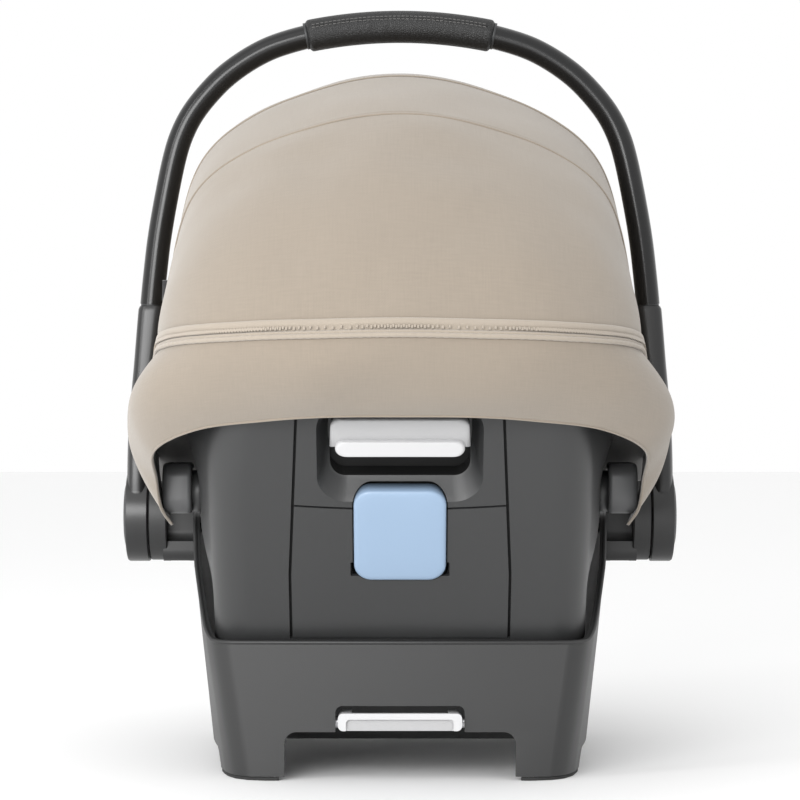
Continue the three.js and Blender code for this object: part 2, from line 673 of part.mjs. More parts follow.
function canopy() {
  const joinWidth = (r, half) => (Math.atan(half / r) * 180) / Math.PI;
  const zipUpper = (r) => Math.max(zipAngle(r) - joinWidth(r, 10.4), BOWS.rear + 5);
  const { lerp } = THREE.MathUtils;
  const rearRow = (t) => [
    ZIP_LINE.map(([r, x], i) => [lerp(r, BOW[i][0], t), lerp(x, BOW[i][1], t)]),
    (r) => lerp(zipUpper(r), BOWS.rear + 0.6, t),
  ];
  canopyPanel("canopy_rear_panel", [0, 0.5, 1].map(rearRow));
  canopyPanel("canopy_mid_panel", [BOWS.rear - 0.5, 19, BOWS.mid + 0.4].map((a) => [BOW, () => a]));
  canopyPanel(
    "canopy_front_panel",
    [BOWS.mid - 0.4, -1, -13, -25, BOWS.front].map((a) => [BOW, () => a]),
  );

  const zipShape = ZIP_LINE.filter(([r]) => r >= 120);
  const zipGrid = [9.5, -9.5].map((offset) =>
    bothSides(zipShape).map(([r, x]) => onCanopy(r, x, zipAngle(r) + joinWidth(r, offset))));
  add("zipper_band", sheet(zipGrid, FABRIC), zipTape);

  // Rear skirt: hangs from the zipper over the back of the shell.
  const hem = [[184, -140, 22], [180, -185, 50], [169, -215, 60], [151, -235, 69], [128, -250, 73.5],
    [106, -258, 75.5], [82, -264, 77.5], [48, -269.5, 79], [0, -272, 80]];
  const top = bothSides(zipShape).map(([r, x]) => onCanopy(r, x, zipAngle(r) + joinWidth(r, 11.8)));
  const bottom = [
    ...hem.map(([x, y, z]) => vec(-x, y, z)),
    ...hem.slice(0, -1).reverse().map(([x, y, z]) => vec(x, y, z)),
  ];
  const middle = top.map((p, i) => p.clone().lerp(bottom[i], 0.5).add(vec(0, -3, 0)));
  add("canopy_skirt", sheet([bottom, middle, top], FABRIC), canopyFabric);

  // Bows: flexible strips inside the fabric, each ending in a ring on the pivot pin.
  Object.entries(BOWS).forEach(([name, angle], place) => {
    const inset = 5 + 2.4 * place;
    const scale = apexScale(angle);
    const x0 = 156.8 - 2.3 * place;
    const path = [[9, x0 + 0.9], [24, x0 + 0.9], [46, x0 + 12]];
    for (const [r, x] of BOW.slice(1)) {
      const scaled = 60 + (r - 60) * scale;
      const lean = THREE.MathUtils.clamp((r - 190) / 120, 0, 1); // 0 on the sides, 1 on top
      path.push([scaled - inset * lean, x - inset * (x > 0 ? 1 - 0.6 * lean : 0)]);
    }
    const points = bothSides(path).map(([r, x]) => vec(x, 0, r));
    const strip = ribbon(points, vec(0, 1, 0), 7, 1.8);
    const ring = disc(11.5, [x0, x0 + 1.8], 16);
    const hole = disc(PIVOT_R + GAP.turn, [-170, 170], 16);
    const bow = cut(join(strip, ring, mirrorX(ring)), hole).rotateX(degrees(angle));
    add("canopy_bow_" + name, bow, darkPlastic);
  });
}

// ---- Harness -------------------------------------------------------------------------------
// Points on the seating surface: distance measured down the back, round the bend, along the leg.
const surfacePath = new THREE.Path();
surfacePath.moveTo(-BACK_SURFACE, 220);
surfacePath.lineTo(-BACK_SURFACE, 95 - LEG_SURFACE);
surfacePath.absarc(95 - BACK_SURFACE, 95 - LEG_SURFACE, 95, Math.PI, Math.PI * 1.5);
surfacePath.lineTo(230, -LEG_SURFACE);
const surfaceLength = surfacePath.getLength();

function onSurface(x, distance, lift) {
  const u = distance / surfaceLength;
  const p = surfacePath.getPointAt(u);
  const along = surfacePath.getTangentAt(u);
  return vec(x, p.x - along.y * lift, p.y + along.x * lift);
}

function harness() {
  const side = vec(1, 0, 0);
  const line = (stops, thickness, width) =>
    ribbon(stops.map(([x, distance, lift]) => onSurface(x, distance, lift)), side, width, thickness);
  const shoulder = [[34, 130, 5], [33, 150, 5], [30, 180, 5.5], [28, 215, 5.5], [25, 255, 5],
    [22, 290, 7.5], [20, 320, 10], [18, 350, 12], [17, 366, 12.5]];
  addPair("shoulder_strap", line(shoulder, WEBBING, 30), webbing, tilted);
  const strapPad = line([[33.5, 133, 11], [32.5, 155, 11], [29.5, 188, 11.5]], 7, 46);
  addPair("strap_pad", strapPad, padFabric, tilted);
  const slot = (s) => line([[s * 29, 190, 5.5], [s * 28, 215, 5.5], [s * 26.6, 236, 5.4]], 3.4, 33);
  const clip = cut(line([[0, 196, 6.4], [0, 224, 6.4]], 9, 92), slot(1), slot(-1));
  add("chest_clip", clip, darkPlastic, tilted);

  const lap = [vec(96, -70, -96), vec(84, -50, -113), vec(66, -32, -121), vec(52, -18, -121.5),
    vec(41, -10, -121)];
  const lapSide = vec(0.25, 0.9, -0.3).normalize();
  addPair("lap_strap", ribbon(lap, lapSide, 26, WEBBING), webbing, tilted);
  const crotch = line([[0, 432, 10], [0, 450, 8], [0, 470, 4], [0, 486, 2.2]], WEBBING, 36);
  add("crotch_strap", crotch, webbing, tilted);
  const buckle = cut(
    line([[0, 370, 12], [0, 400, 12], [0, 431, 11]], 17, 62),
    line([[0, 396, 18], [0, 424, 17.5]], 14, 31),
  );
  add("buckle_body", buckle, darkPlastic, tilted);
  add("buckle_button", line([[0, 397, 17.8], [0, 423, 17.4]], 7.6, 29.4), redPlastic, tilted);

  add("adjuster_housing", cut(
    line([[0, 538, 5.6], [0, 572, 5.6]], 10, 44),
    line([[0, 543, 9], [0, 567, 9]], 10.8, 30),
  ), darkPlastic, tilted);
  add("adjuster_button", line([[0, 544, 10], [0, 566, 10]], 3.2, 29), leverPlastic, tilted);
}

shellAndPanel();
linerAndPad();
beltGuides();
cradleFrame();
hubs();
handle();
canopy();
harness();

export default carSeat;
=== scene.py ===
# %% [markdown]
# # An infant car seat
#
# The CAD model is a fixed frame: every piece below takes its place from it. The seat
# leans back in a footed cradle, and its coordinates read most simply from the hub axis, the
# line through both handle hubs. Lengths are written in millimetres from that axis and turned
# into metres once, by one helper.

# %% The frame
import json
import math
import bpy
import numpy as np
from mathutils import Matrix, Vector
from mathutils.noise import noise


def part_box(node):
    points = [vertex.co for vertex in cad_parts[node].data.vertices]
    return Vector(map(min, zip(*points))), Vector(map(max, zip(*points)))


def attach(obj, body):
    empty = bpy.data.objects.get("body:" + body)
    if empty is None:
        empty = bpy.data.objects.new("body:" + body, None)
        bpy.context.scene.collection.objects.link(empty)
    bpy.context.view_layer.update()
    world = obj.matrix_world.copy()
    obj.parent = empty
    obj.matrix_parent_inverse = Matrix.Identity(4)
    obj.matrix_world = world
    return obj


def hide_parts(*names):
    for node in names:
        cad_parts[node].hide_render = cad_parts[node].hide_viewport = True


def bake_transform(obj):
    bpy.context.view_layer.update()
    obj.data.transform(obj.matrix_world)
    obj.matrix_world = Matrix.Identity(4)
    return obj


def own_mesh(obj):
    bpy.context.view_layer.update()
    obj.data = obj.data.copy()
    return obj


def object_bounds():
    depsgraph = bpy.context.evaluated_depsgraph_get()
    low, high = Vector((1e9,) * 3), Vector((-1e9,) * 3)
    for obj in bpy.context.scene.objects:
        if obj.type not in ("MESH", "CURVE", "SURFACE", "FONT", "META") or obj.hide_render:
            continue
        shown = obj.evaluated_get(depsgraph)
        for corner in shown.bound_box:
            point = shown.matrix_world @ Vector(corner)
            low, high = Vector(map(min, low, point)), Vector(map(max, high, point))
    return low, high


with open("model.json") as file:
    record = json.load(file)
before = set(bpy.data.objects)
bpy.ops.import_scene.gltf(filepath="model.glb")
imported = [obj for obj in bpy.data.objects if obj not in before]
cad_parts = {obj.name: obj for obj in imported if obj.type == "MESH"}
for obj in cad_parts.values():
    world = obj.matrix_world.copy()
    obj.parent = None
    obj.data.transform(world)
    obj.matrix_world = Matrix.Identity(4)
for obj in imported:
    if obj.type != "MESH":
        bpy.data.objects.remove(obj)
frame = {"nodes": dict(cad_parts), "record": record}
cad_box = [list(corner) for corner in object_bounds()]
low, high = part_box("lock_gear_right")
HUB = Vector((0, (low.y + high.y) / 2, (low.z + high.z) / 2))
print("hub axis at", [round(c, 4) for c in HUB])

# %% [markdown]
# ## Camera, floor and light
#
# The seat is seen level from behind, from far enough away that its sides hardly converge.
# A white room gives soft fill from all round. A large pale floor stands in it, with a big
# softbox beside the camera, a faint one above and a narrow strip at the left.

# %% Camera
scene = bpy.context.scene
scene.view_settings.view_transform = "Standard"
DISTANCE = 2.3  # from the hub axis to the lens
VIEW_WIDTH = 0.64  # width of the picture at the hub axis
SENSOR = 36
EYE_HEIGHT = 0.2827
camera_data = bpy.data.cameras.new("camera")
camera_data.sensor_width = SENSOR
camera_data.lens = SENSOR * DISTANCE / VIEW_WIDTH
camera = bpy.data.objects.new("camera", camera_data)
camera.location = (0, HUB.y - DISTANCE, EYE_HEIGHT)
camera.rotation_euler = (math.radians(90), 0, 0)
scene.collection.objects.link(camera)
scene.camera = camera
print("lens", round(camera_data.lens, 1), "mm")

# %% Floor and backdrop
def deselect():
    bpy.ops.object.select_all(action="DESELECT")

deselect()
bpy.ops.mesh.primitive_plane_add(size=14, location=(0, 2, 0))
floor = bpy.context.object
floor.name = "studio_floor"

world = bpy.data.worlds.new("studio")
scene.world = world
world.use_nodes = True
world.node_tree.nodes["Background"].inputs["Color"].default_value = (1, 1, 1, 1)
world.node_tree.nodes["Background"].inputs["Strength"].default_value = 1.0

# %% Lights
def softbox(name, size, power, location, target):
    data = bpy.data.lights.new(name, "AREA")
    data.shape = "RECTANGLE"
    data.size, data.size_y = size
    data.energy = power
    lamp = bpy.data.objects.new(name, data)
    lamp.location = location
    aim = Vector(target) - Vector(location)
    lamp.rotation_euler = aim.to_track_quat("-Z", "Y").to_euler()
    scene.collection.objects.link(lamp)

softbox("front", (1.6, 1.2), 60, (-0.9, -2.7, 0.9), (0, 0, 0.3))
softbox("key_above", (1.6, 1.2), 4, (-0.5, -1.3, 2.1), (0, 0, 0.35))
softbox("strip_left", (0.25, 1.8), 10, (-1.5, -1.2, 0.7), (0, 0, 0.3))

# %% [markdown]
# ## Shader maths
#
# Wires between nodes are easier to read as sums. One small class wraps an output socket, so
# that `grain * 0.3 + 0.5` adds the Math nodes by itself; colours go through Mix nodes.

# %% Shader helpers
class Wire:
    """An output socket that can be added and multiplied."""

    def __init__(self, tree, socket):
        self.tree, self.socket = tree, socket

    def math(self, operation, other):
        node = self.tree.nodes.new("ShaderNodeMath")
        node.operation = operation
        for slot, value in zip(node.inputs, (self, other)):
            if isinstance(value, Wire):
                self.tree.links.new(value.socket, slot)
            elif value is not None:
                slot.default_value = value
        return Wire(self.tree, node.outputs[0])

    def __add__(self, other): return self.math("ADD", other)
    __radd__ = __add__
    def __mul__(self, other): return self.math("MULTIPLY", other)
    __rmul__ = __mul__

class Finish:
    """A material being built: one principled shader and the nodes that feed it."""

    def __init__(self, name, color, roughness, **settings):
        self.material = bpy.data.materials.new(name)
        self.material.use_nodes = True
        self.tree = self.material.node_tree
        self.shader = self.tree.nodes["Principled BSDF"]
        self.feed(self.shader, {"Base Color": (*color, 1), "Roughness": roughness, **settings})
        self.object_point = self.node("ShaderNodeTexCoord", output="Object")

    def feed(self, node, values):
        for key, value in values.items():
            slot = node.inputs[key]
            if isinstance(value, Wire):
                self.tree.links.new(value.socket, slot)
            else:
                slot.default_value = value

    def node(self, kind, settings=None, inputs=None, output=0):
        made = self.tree.nodes.new(kind)
        for key, value in (settings or {}).items():
            if key == "stops":
                for element, (place, color) in zip(made.color_ramp.elements, value):
                    element.position, element.color = place, color
            else:
                setattr(made, key, value)
        self.feed(made, inputs or {})
        return Wire(self.tree, made.outputs[output])

    def noise(self, scale, detail=3.0, point=None, roughness=0.5):
        return self.node("ShaderNodeTexNoise", inputs={
            "Vector": point or self.object_point, "Scale": scale, "Detail": detail,
            "Roughness": roughness})

    def ramp(self, factor, low_end, high_end):
        return self.node("ShaderNodeMapRange", inputs={
            "Value": factor, "From Min": low_end, "From Max": high_end})

    def mix(self, factor, first, second):
        mixed = self.tree.nodes.new("ShaderNodeMix")
        mixed.data_type = "RGBA"
        slots = {"Factor_Float": factor, "A_Color": first, "B_Color": second}
        for identifier, value in slots.items():
            slot = next(s for s in mixed.inputs if s.identifier == identifier)
            if isinstance(value, Wire):
                self.tree.links.new(value.socket, slot)
            elif identifier == "Factor_Float":
                slot.default_value = value
            else:
                slot.default_value = (*value, 1)
        out = next(s for s in mixed.outputs if s.identifier == "Result_Color")
        return Wire(self.tree, out)

    def bump(self, height, strength, distance):
        return self.node("ShaderNodeBump", inputs={
            "Height": height, "Strength": strength, "Distance": distance})

    def set(self, **values):
        self.feed(self.shader, {key.replace("_", " "): value for key, value in values.items()})

def scaled(color, factor):
    return tuple(min(1, c * factor) for c in color)

# %% [markdown]
# ## Moulded plastics, metal and leather
#
# A moulded car seat shell has a fine spark-eroded texture: it scatters light softly and
# shows no clear reflection. Very fine noise in the bump gives that, and slow noise in the
# roughness keeps large faces from looking printed. The bright edges of a real moulding come
# from its rounded corners, so they are left to the bevels.

# %% Plastics
def moulded(name, color, roughness, grain=0.3, mottling=0.06, **settings):
    finish = Finish(name, color, roughness, **settings)
    slow = finish.noise(14.0, 4.0)
    fine = finish.noise(1500.0, 2.0)
    finish.set(
        Base_Color=finish.mix(slow, scaled(color, 1 - mottling), scaled(color, 1 + mottling)),
        Roughness=finish.ramp(slow, 0.2, 0.8) * 0.08 + (roughness - 0.04),
        Normal=finish.bump(fine, grain, 0.0002),
    )
    return finish.material

shell_grey = moulded("shell_plastic", (0.029, 0.0296, 0.030), 0.42)
frame_grey = moulded("frame_plastic", (0.0205, 0.0208, 0.021), 0.45, grain=0.3)
arm_grey = moulded("arm_plastic", (0.0175, 0.0177, 0.018), 0.32, grain=0.2)
dark_grey = moulded("dark_plastic", (0.028, 0.029, 0.03), 0.45)
# Near-black, painted shade for the grooves round the back covers and for the lever pocket.
painted_shade_black = moulded("painted_shade_plastic", (0.003, 0.003, 0.003), 0.7, grain=0.1, mottling=0.0)
knob_grey = moulded("knob_plastic", (0.09, 0.091, 0.093), 0.36, grain=0.2)
lever_white = moulded("lever_plastic", (0.5, 0.5, 0.505), 0.32, grain=0.1, mottling=0.015)
# A darker copy of the white lever plastic: painted shade for faces set back from a lip.
shaded_lever_white = moulded("lever_plastic_painted_shade", (0.36, 0.36, 0.364), 0.32, grain=0.1, mottling=0.015)
paddle_blue = moulded("paddle_plastic", (0.24, 0.33, 0.45), 0.3, grain=0.1, mottling=0.02)
button_red = moulded("button_plastic", (0.5, 0.025, 0.02), 0.3, grain=0.1, mottling=0.03)
rubber_black = moulded("rubber", (0.018, 0.018, 0.018), 0.85, grain=0.6)
floor_white = moulded("studio_floor", (0.93, 0.93, 0.93), 0.7, grain=0.0, mottling=0.0)
floor.data.materials.append(floor_white)

# %% Metals
def drawn_metal(name, color, roughness, metallic):
    finish = Finish(name, color, roughness, Metallic=metallic)
    fine = finish.noise(900.0, 2.0)
    streaks = finish.noise(60.0, 3.0)
    finish.set(
        Base_Color=finish.mix(streaks, scaled(color, 0.9), scaled(color, 1.12)),
        Roughness=streaks * 0.12 + (roughness - 0.06),
        Normal=finish.bump(fine, 0.15, 0.0001),
    )
    return finish.material

tube_coating = drawn_metal("handle_coating", (0.009, 0.0091, 0.0093), 0.25, 0.2)
steel = drawn_metal("steel", (0.5, 0.5, 0.51), 0.35, 1.0)

# %% Leather-grain grip
def pebbled(name, color):
    finish = Finish(name, color, 0.5)
    cells = finish.node("ShaderNodeTexVoronoi", {"feature": "DISTANCE_TO_EDGE"}, {
        "Vector": finish.object_point, "Scale": 620.0, "Randomness": 0.9})
    pebble = finish.ramp(cells, 0.0, 0.28)
    slow = finish.noise(40.0, 3.0)
    finish.set(
        Base_Color=finish.mix(pebble, scaled(color, 0.55), scaled(color, 1.25)),
        Roughness=slow * 0.12 + 0.42,
        Normal=finish.bump(pebble, 0.6, 0.0004),
    )
    return finish.material

grip_leather = pebbled("grip_leather", (0.008, 0.0081, 0.0082))

# %% [markdown]
# ## Cloth
#
# The canopy is a fine plain weave with a heathered yarn. The weave has to follow the cloth
# and not the room, so every sheet below gets a UV map in metres, and the threads are two
# sine waves across it. Their product is the over-and-under of a plain weave.

# %% Woven cloth
def woven(name, color, pitch, roughness=0.9, relief=0.35, heather=0.1, slant=0.0, sheen=0.3):
    finish = Finish(name, color, roughness, **{"Sheen Weight": sheen, "Sheen Roughness": 0.6})
    uv = finish.node("ShaderNodeTexCoord", output="UV")
    parts = finish.tree.nodes.new("ShaderNodeSeparateXYZ")
    finish.feed(parts, {"Vector": uv})
    u, v = Wire(finish.tree, parts.outputs[0]), Wire(finish.tree, parts.outputs[1])
    turn = 2 * math.pi / pitch
    warp = (u * turn + v * (turn * slant)).math("SINE", None)
    weft = (v * turn).math("SINE", None)
    weave = warp * weft * 0.5 + 0.5
    yarn_across = finish.node("ShaderNodeMapping", inputs={
        "Vector": uv, "Scale": (1 / pitch / 14, 1 / pitch, 1.0)})
    yarn_along = finish.node("ShaderNodeMapping", inputs={
        "Vector": uv, "Scale": (1 / pitch, 1 / pitch / 14, 1.0)})
    slub = finish.noise(1.0, 2.0, yarn_across) + finish.noise(1.0, 2.0, yarn_along)
    shade = finish.ramp(slub, 0.6, 1.4) * 0.7 + weave * 0.3
    slow = finish.noise(5.0, 3.0)
    tone = finish.mix(shade, scaled(color, 1 - heather), scaled(color, 1 + heather))
    finish.set(
        Base_Color=finish.mix(finish.ramp(slow, 0.3, 0.7) * 0.35, tone, scaled(color, 1.04)),
        Roughness=weave * 0.1 + (roughness - 0.05),
        Normal=finish.bump(weave * 0.7 + slub * 0.3, relief, pitch / 5),
    )
    return finish.material

CANOPY = (0.225, 0.188, 0.147)
canopy_cloth = woven("canopy_cloth", CANOPY, 0.0011)
tape_cloth = woven("tape_cloth", (0.295, 0.252, 0.204), 0.0014, heather=0.08, relief=0.5)
pad_cloth = woven("pad_cloth", (0.4, 0.34, 0.27), 0.0017, heather=0.16, relief=0.5)
dark_cloth = woven("dark_cloth", (0.09, 0.087, 0.084), 0.0016, heather=0.18, relief=0.5)
strap_weave = woven("strap_weave", (0.075, 0.075, 0.078), 0.0022, slant=1.0, heather=0.2,
                    relief=0.6, roughness=0.7)
tag_cloth = woven("tag_cloth", (0.02, 0.02, 0.021), 0.0008, relief=0.3)

# %% Beaded foam
def beaded(name, color):
    finish = Finish(name, color, 0.85)
    cells = finish.node("ShaderNodeTexVoronoi", {"feature": "DISTANCE_TO_EDGE"}, {
        "Vector": finish.object_point, "Scale": 280.0})
    bead = finish.ramp(cells, 0.0, 0.2)
    finish.set(
        Base_Color=finish.mix(bead, scaled(color, 0.8), color),
        Normal=finish.bump(bead, 0.5, 0.0006),
    )
    return finish.material

liner_foam = beaded("liner_foam", (0.78, 0.77, 0.74))

# %% [markdown]
# ## Making shapes
#
# Most of the seat is swept: a section moves along a line. These helpers take control points
# in millimetres from the hub axis, draw a smooth line through them, and join rows of points
# into a mesh whose UV map is in metres.

# %% Lines and surfaces
MM = 0.001

def at(x, y, z):
    """A point given in millimetres from the hub axis, level with the ground."""
    return (x * MM, y * MM + HUB.y, z * MM + HUB.z)

LEAN = math.radians(30)
def leaning(x, y, z):
    """The same, in the shell's own leaning frame: its back lies at -y and its seat at -z."""
    c, s = math.cos(LEAN), math.sin(LEAN)
    return at(x, y * c - z * s, y * s + z * c)

def smooth_line(points, count):
    """Evenly spaced points along a smooth curve through the given ones."""
    pts = np.array(points, float)
    last = len(pts) - 1
    dense = []
    for i in range(last):
        p0, p1, p2, p3 = pts[max(i - 1, 0)], pts[i], pts[i + 1], pts[min(i + 2, last)]
        for t in np.linspace(0, 1, 24, endpoint=False):
            dense.append(0.5 * (2 * p1 + (p2 - p0) * t + (2 * p0 - 5 * p1 + 4 * p2 - p3) * t * t
                                + (3 * p1 - p0 - 3 * p2 + p3) * t ** 3))
    dense.append(pts[-1])
    dense = np.array(dense)
    run = np.concatenate([[0], np.cumsum(np.linalg.norm(np.diff(dense, axis=0), axis=1))])
    places = np.linspace(0, run[-1], count)
    return np.stack([np.interp(places, run, dense[:, k]) for k in range(dense.shape[1])], 1)

def new_piece(name, vertices, faces, material, uv=None, smooth=True):
    mesh = bpy.data.meshes.new(name)
    mesh.from_pydata([tuple(v) for v in vertices], [], faces)
    if uv is not None:
        layer = mesh.uv_layers.new(name="cloth")
        loop_vertex = np.zeros(len(mesh.loops), int)
        mesh.loops.foreach_get("vertex_index", loop_vertex)
        layer.data.foreach_set("uv", np.array(uv, float)[loop_vertex].ravel())
    mesh.validate()
    mesh.polygons.foreach_set("use_smooth", [smooth] * len(mesh.polygons))
    mesh.materials.append(material)
    piece = bpy.data.objects.new(name, mesh)
    scene.collection.objects.link(piece)
    return piece

def only(piece):
    deselect()
    piece.select_set(True)
    bpy.context.view_layer.objects.active = piece

def modify(piece, kind, **settings):
    """Adds a modifier and applies it."""
    only(piece)
    modifier = piece.modifiers.new(kind.lower(), kind)
    for key, value in settings.items():
        setattr(modifier, key, value)
    bpy.ops.object.modifier_apply(modifier=modifier.name)

def spread_uv(grid):
    """Distances along a grid's rows and columns, in metres."""
    across = np.cumsum(np.linalg.norm(np.diff(grid, axis=1, prepend=grid[:, :1]), axis=2), axis=1)
    across -= across[:, across.shape[1] // 2][:, None]
    along = np.cumsum(np.linalg.norm(np.diff(grid, axis=0, prepend=grid[:1]), axis=2), axis=0)
    return np.stack([across, np.broadcast_to(along.mean(1)[:, None], across.shape)], 2).reshape(-1, 2)

def surface(name, grid, material, thickness=0.0):
    """A sheet from rows of points. Its outer side is to the left of a row, seen along the rows."""
    grid = np.array(grid, float)
    rows, columns = grid.shape[:2]
    faces = [(k * columns + i, k * columns + i + 1, (k + 1) * columns + i + 1, (k + 1) * columns + i)
             for k in range(rows - 1) for i in range(columns - 1)]
    piece = new_piece(name, grid.reshape(-1, 3), faces, material, spread_uv(grid))
    if thickness:
        modify(piece, "SOLIDIFY", thickness=thickness, offset=-1.0, use_even_offset=True)
    return piece

def ring_faces(count, n, last):
    """Faces between each ring of n points and the next one."""
    return [(k * n + i, k * n + (i + 1) % n, ((k + 1) % count) * n + (i + 1) % n, ((k + 1) % count) * n + i)
            for k in range(last) for i in range(n)]

def sweep(name, rings, material, closed=False):
    """Joins rings of points; the ends are closed with flat caps."""
    rings = np.array(rings, float)
    count, n = rings.shape[:2]
    last = count if closed else count - 1
    faces = ring_faces(count, n, last)
    if not closed:
        faces += [tuple(reversed(range(n))), tuple(range((count - 1) * n, count * n))]
    wrapped = np.concatenate([rings, rings[:, :1]], 1)
    uv = spread_uv(wrapped).reshape(count, n + 1, 2)[:, :n].reshape(-1, 2)
    piece = new_piece(name, rings.reshape(-1, 3), faces, material, uv)
    outwards(piece)
    return piece

def outwards(piece):
    only(piece)
    bpy.ops.object.mode_set(mode="EDIT")
    bpy.ops.mesh.select_all(action="SELECT")
    bpy.ops.mesh.normals_make_consistent(inside=False)
    bpy.ops.object.mode_set(mode="OBJECT")

def by_angle(piece, degrees):
    only(piece)
    bpy.ops.object.shade_smooth_by_angle(angle=math.radians(degrees))

def paint(piece, material):
    """Gives the whole piece one material."""
    piece.data.materials.clear()
    piece.data.materials.append(material)

def moulded_copy(node, material, bevel, segments):
    """A piece with the CAD node's shape and rounded edges."""
    piece = bpy.data.objects.new(node + "_moulding", frame["nodes"][node].data.copy())
    scene.collection.objects.link(piece)
    only(piece)
    bpy.ops.object.mode_set(mode="EDIT")
    bpy.ops.mesh.select_all(action="SELECT")
    bpy.ops.mesh.remove_doubles(threshold=0.00001)
    bpy.ops.mesh.dissolve_limited(angle_limit=math.radians(1))
    bpy.ops.object.mode_set(mode="OBJECT")
    modify(piece, "BEVEL", width=bevel, segments=segments, limit_method="ANGLE",
           angle_limit=math.radians(28), use_clamp_overlap=True, miter_outer="MITER_ARC")
    paint(piece, material)
    by_angle(piece, 35)
    modify(piece, "WEIGHTED_NORMAL", keep_sharp=True, weight=90)
    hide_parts(node)
    for body, nodes in frame["record"]["behaviour"]["bodies"].items():
        if node in nodes:
            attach(piece, body)
    return piece

# %% [markdown]
# ## Canopy
#
# Every part of the canopy is described in polar terms: a radius about the hub axis, a
# distance from the middle, and an angle measured rearwards from upright. The bows share one
# outline. The zipper lies on a boxier one, because the cloth under it is packed out to the
# sides.

# %% Canopy surface
BOW = [[40, 176], [75, 180.5], [120, 182], [190, 178], [240, 170], [274, 159], [297, 142],
       [315, 117], [329, 87], [343, 41], [347.5, 0]]
ZIP_LINE = [[40, 177], [80, 181], [120, 183], [190, 181.5], [240, 176.5], [268, 171], [290, 160.5],
            [312, 142], [328, 117], [338, 87], [345, 41], [348, 0]]
REAR_BOW, MID_BOW, FRONT_BOW = 28, 10, -36
APEX_SCALE = [[-36, 1.027], [-5, 1.032], [10, 1.006], [28, 0.992], [66, 1]]
ZIP_ANGLE = [[60, 38], [120, 42], [141, 45.3], [190, 51.5], [240, 57], [274, 60.5], [297, 62.5],
             [315, 64], [329, 65], [343, 65.8], [348, 66]]
COLUMNS = 181

def lookup(pairs, key):
    table = np.array(pairs, float)
    return np.interp(key, table[:, 0], table[:, 1])

def both_sides(half):
    return [[r, -x] for r, x in half] + [[r, x] for r, x in reversed(half[:-1])]

def outline(half, count=COLUMNS):
    """Radius and side distance along a whole bow, from the -x foot to the +x foot."""
    return smooth_line(both_sides(half), count)

def on_canopy(r, x, angle):
    scale = lookup(APEX_SCALE, angle)
    scaled = np.where(r > 60, 60 + (r - 60) * scale, r)
    a = np.radians(angle)
    return np.stack([x * MM, HUB.y - scaled * np.sin(a) * MM, HUB.z + scaled * np.cos(a) * MM], -1)

def zip_angle(r, offset=0.0):
    """The zipper's angle at a radius, moved down the cloth by some millimetres."""
    return lookup(ZIP_ANGLE, r) + np.degrees(np.arctan2(offset, r))

def cloth_normals(grid):
    along = np.gradient(grid, axis=0)
    across = np.gradient(grid, axis=1)
    n = np.cross(along, across)
    return n / np.maximum(np.linalg.norm(n, axis=2, keepdims=True), 1e-12)

def outward(grid):
    """Normals that point away from the hub axis, whichever way the rows run."""
    n = cloth_normals(grid)
    middle = np.array([0, HUB.y, HUB.z + 0.1])
    away = ((grid - middle) * n).sum(2).mean()
    return n if away > 0 else -n

def soft(grid, amount, size, seed=0.0, keep=None):
    """Lets a surface wander in and out gently, as cloth does. keep is 0 where it is sewn down."""
    n = outward(grid)
    wander = np.array([[noise(Vector((p[0] / size + seed, p[1] / size, p[2] / size)))
                        for p in row] for row in grid])
    if keep is not None:
        wander = wander * keep
    return grid + n * (wander * amount)[:, :, None]

def laid_cloth(name, grid, material, thickness, inside=None):
    """A sewn panel of cloth on a grid of points."""
    grid = np.array(grid, float)
    n = cloth_normals(grid)
    middle = np.array([0, HUB.y, HUB.z + 0.1])
    if ((grid - middle) * n).sum(2).mean() < 0:
        grid = grid[:, ::-1]
    piece = surface(name, grid, material)
    face = piece.data.polygons[len(piece.data.polygons) // 2]
    center = Vector(face.center) - Vector((0, HUB.y, HUB.z + 0.1))
    if face.normal.dot(center) < 0:
        piece.data.flip_normals()
    if inside:
        piece.data.materials.append(inside)
    modify(piece, "SOLIDIFY", thickness=thickness, offset=-1.0, material_offset=1 if inside else 0)
    return piece

# %% Three canopy panels
bow_line, zip_line = outline(BOW), outline(ZIP_LINE)
ROWS = 61

def rear_panel_grid():
    """From the zipper's upper tape forwards to the rear bow."""
    rows = []
    for t in np.linspace(0, 1, ROWS):
        ease = t * t * (3 - 2 * t)
        r = zip_line[:, 0] * (1 - ease) + bow_line[:, 0] * ease
        x = zip_line[:, 1] * (1 - ease) + bow_line[:, 1] * ease
        start = np.maximum(zip_angle(zip_line[:, 0], -5.6), REAR_BOW + 5)
        angle = start * (1 - t) + (REAR_BOW - 0.4) * t
        puff = 2.2 * math.sin(math.pi * t) * np.clip((np.abs(x) - 60) / 100, 0, 1)
        rows.append(on_canopy(r + puff * 0.4, x, angle))
    return np.array(rows)

def between_bows(first, last, rows, sag):
    """A panel stretched over two bows, drawn in a little between them."""
    grid = []
    for t in np.linspace(0, 1, rows):
        dip = sag * 4 * t * (1 - t)
        upper = np.clip((bow_line[:, 0] - 120) / 120, 0, 1)
        x = bow_line[:, 1] * (1 - dip * 0.006 * (1 - upper))
        grid.append(on_canopy(bow_line[:, 0] - dip * upper, x, first * (1 - t) + last * t))
    return np.array(grid)

def sewn_edges(rows, columns=COLUMNS, margin=0.12):
    t = np.linspace(0, 1, rows)
    return np.broadcast_to(np.clip(np.minimum(t, 1 - t) / margin, 0, 1)[:, None], (rows, columns))

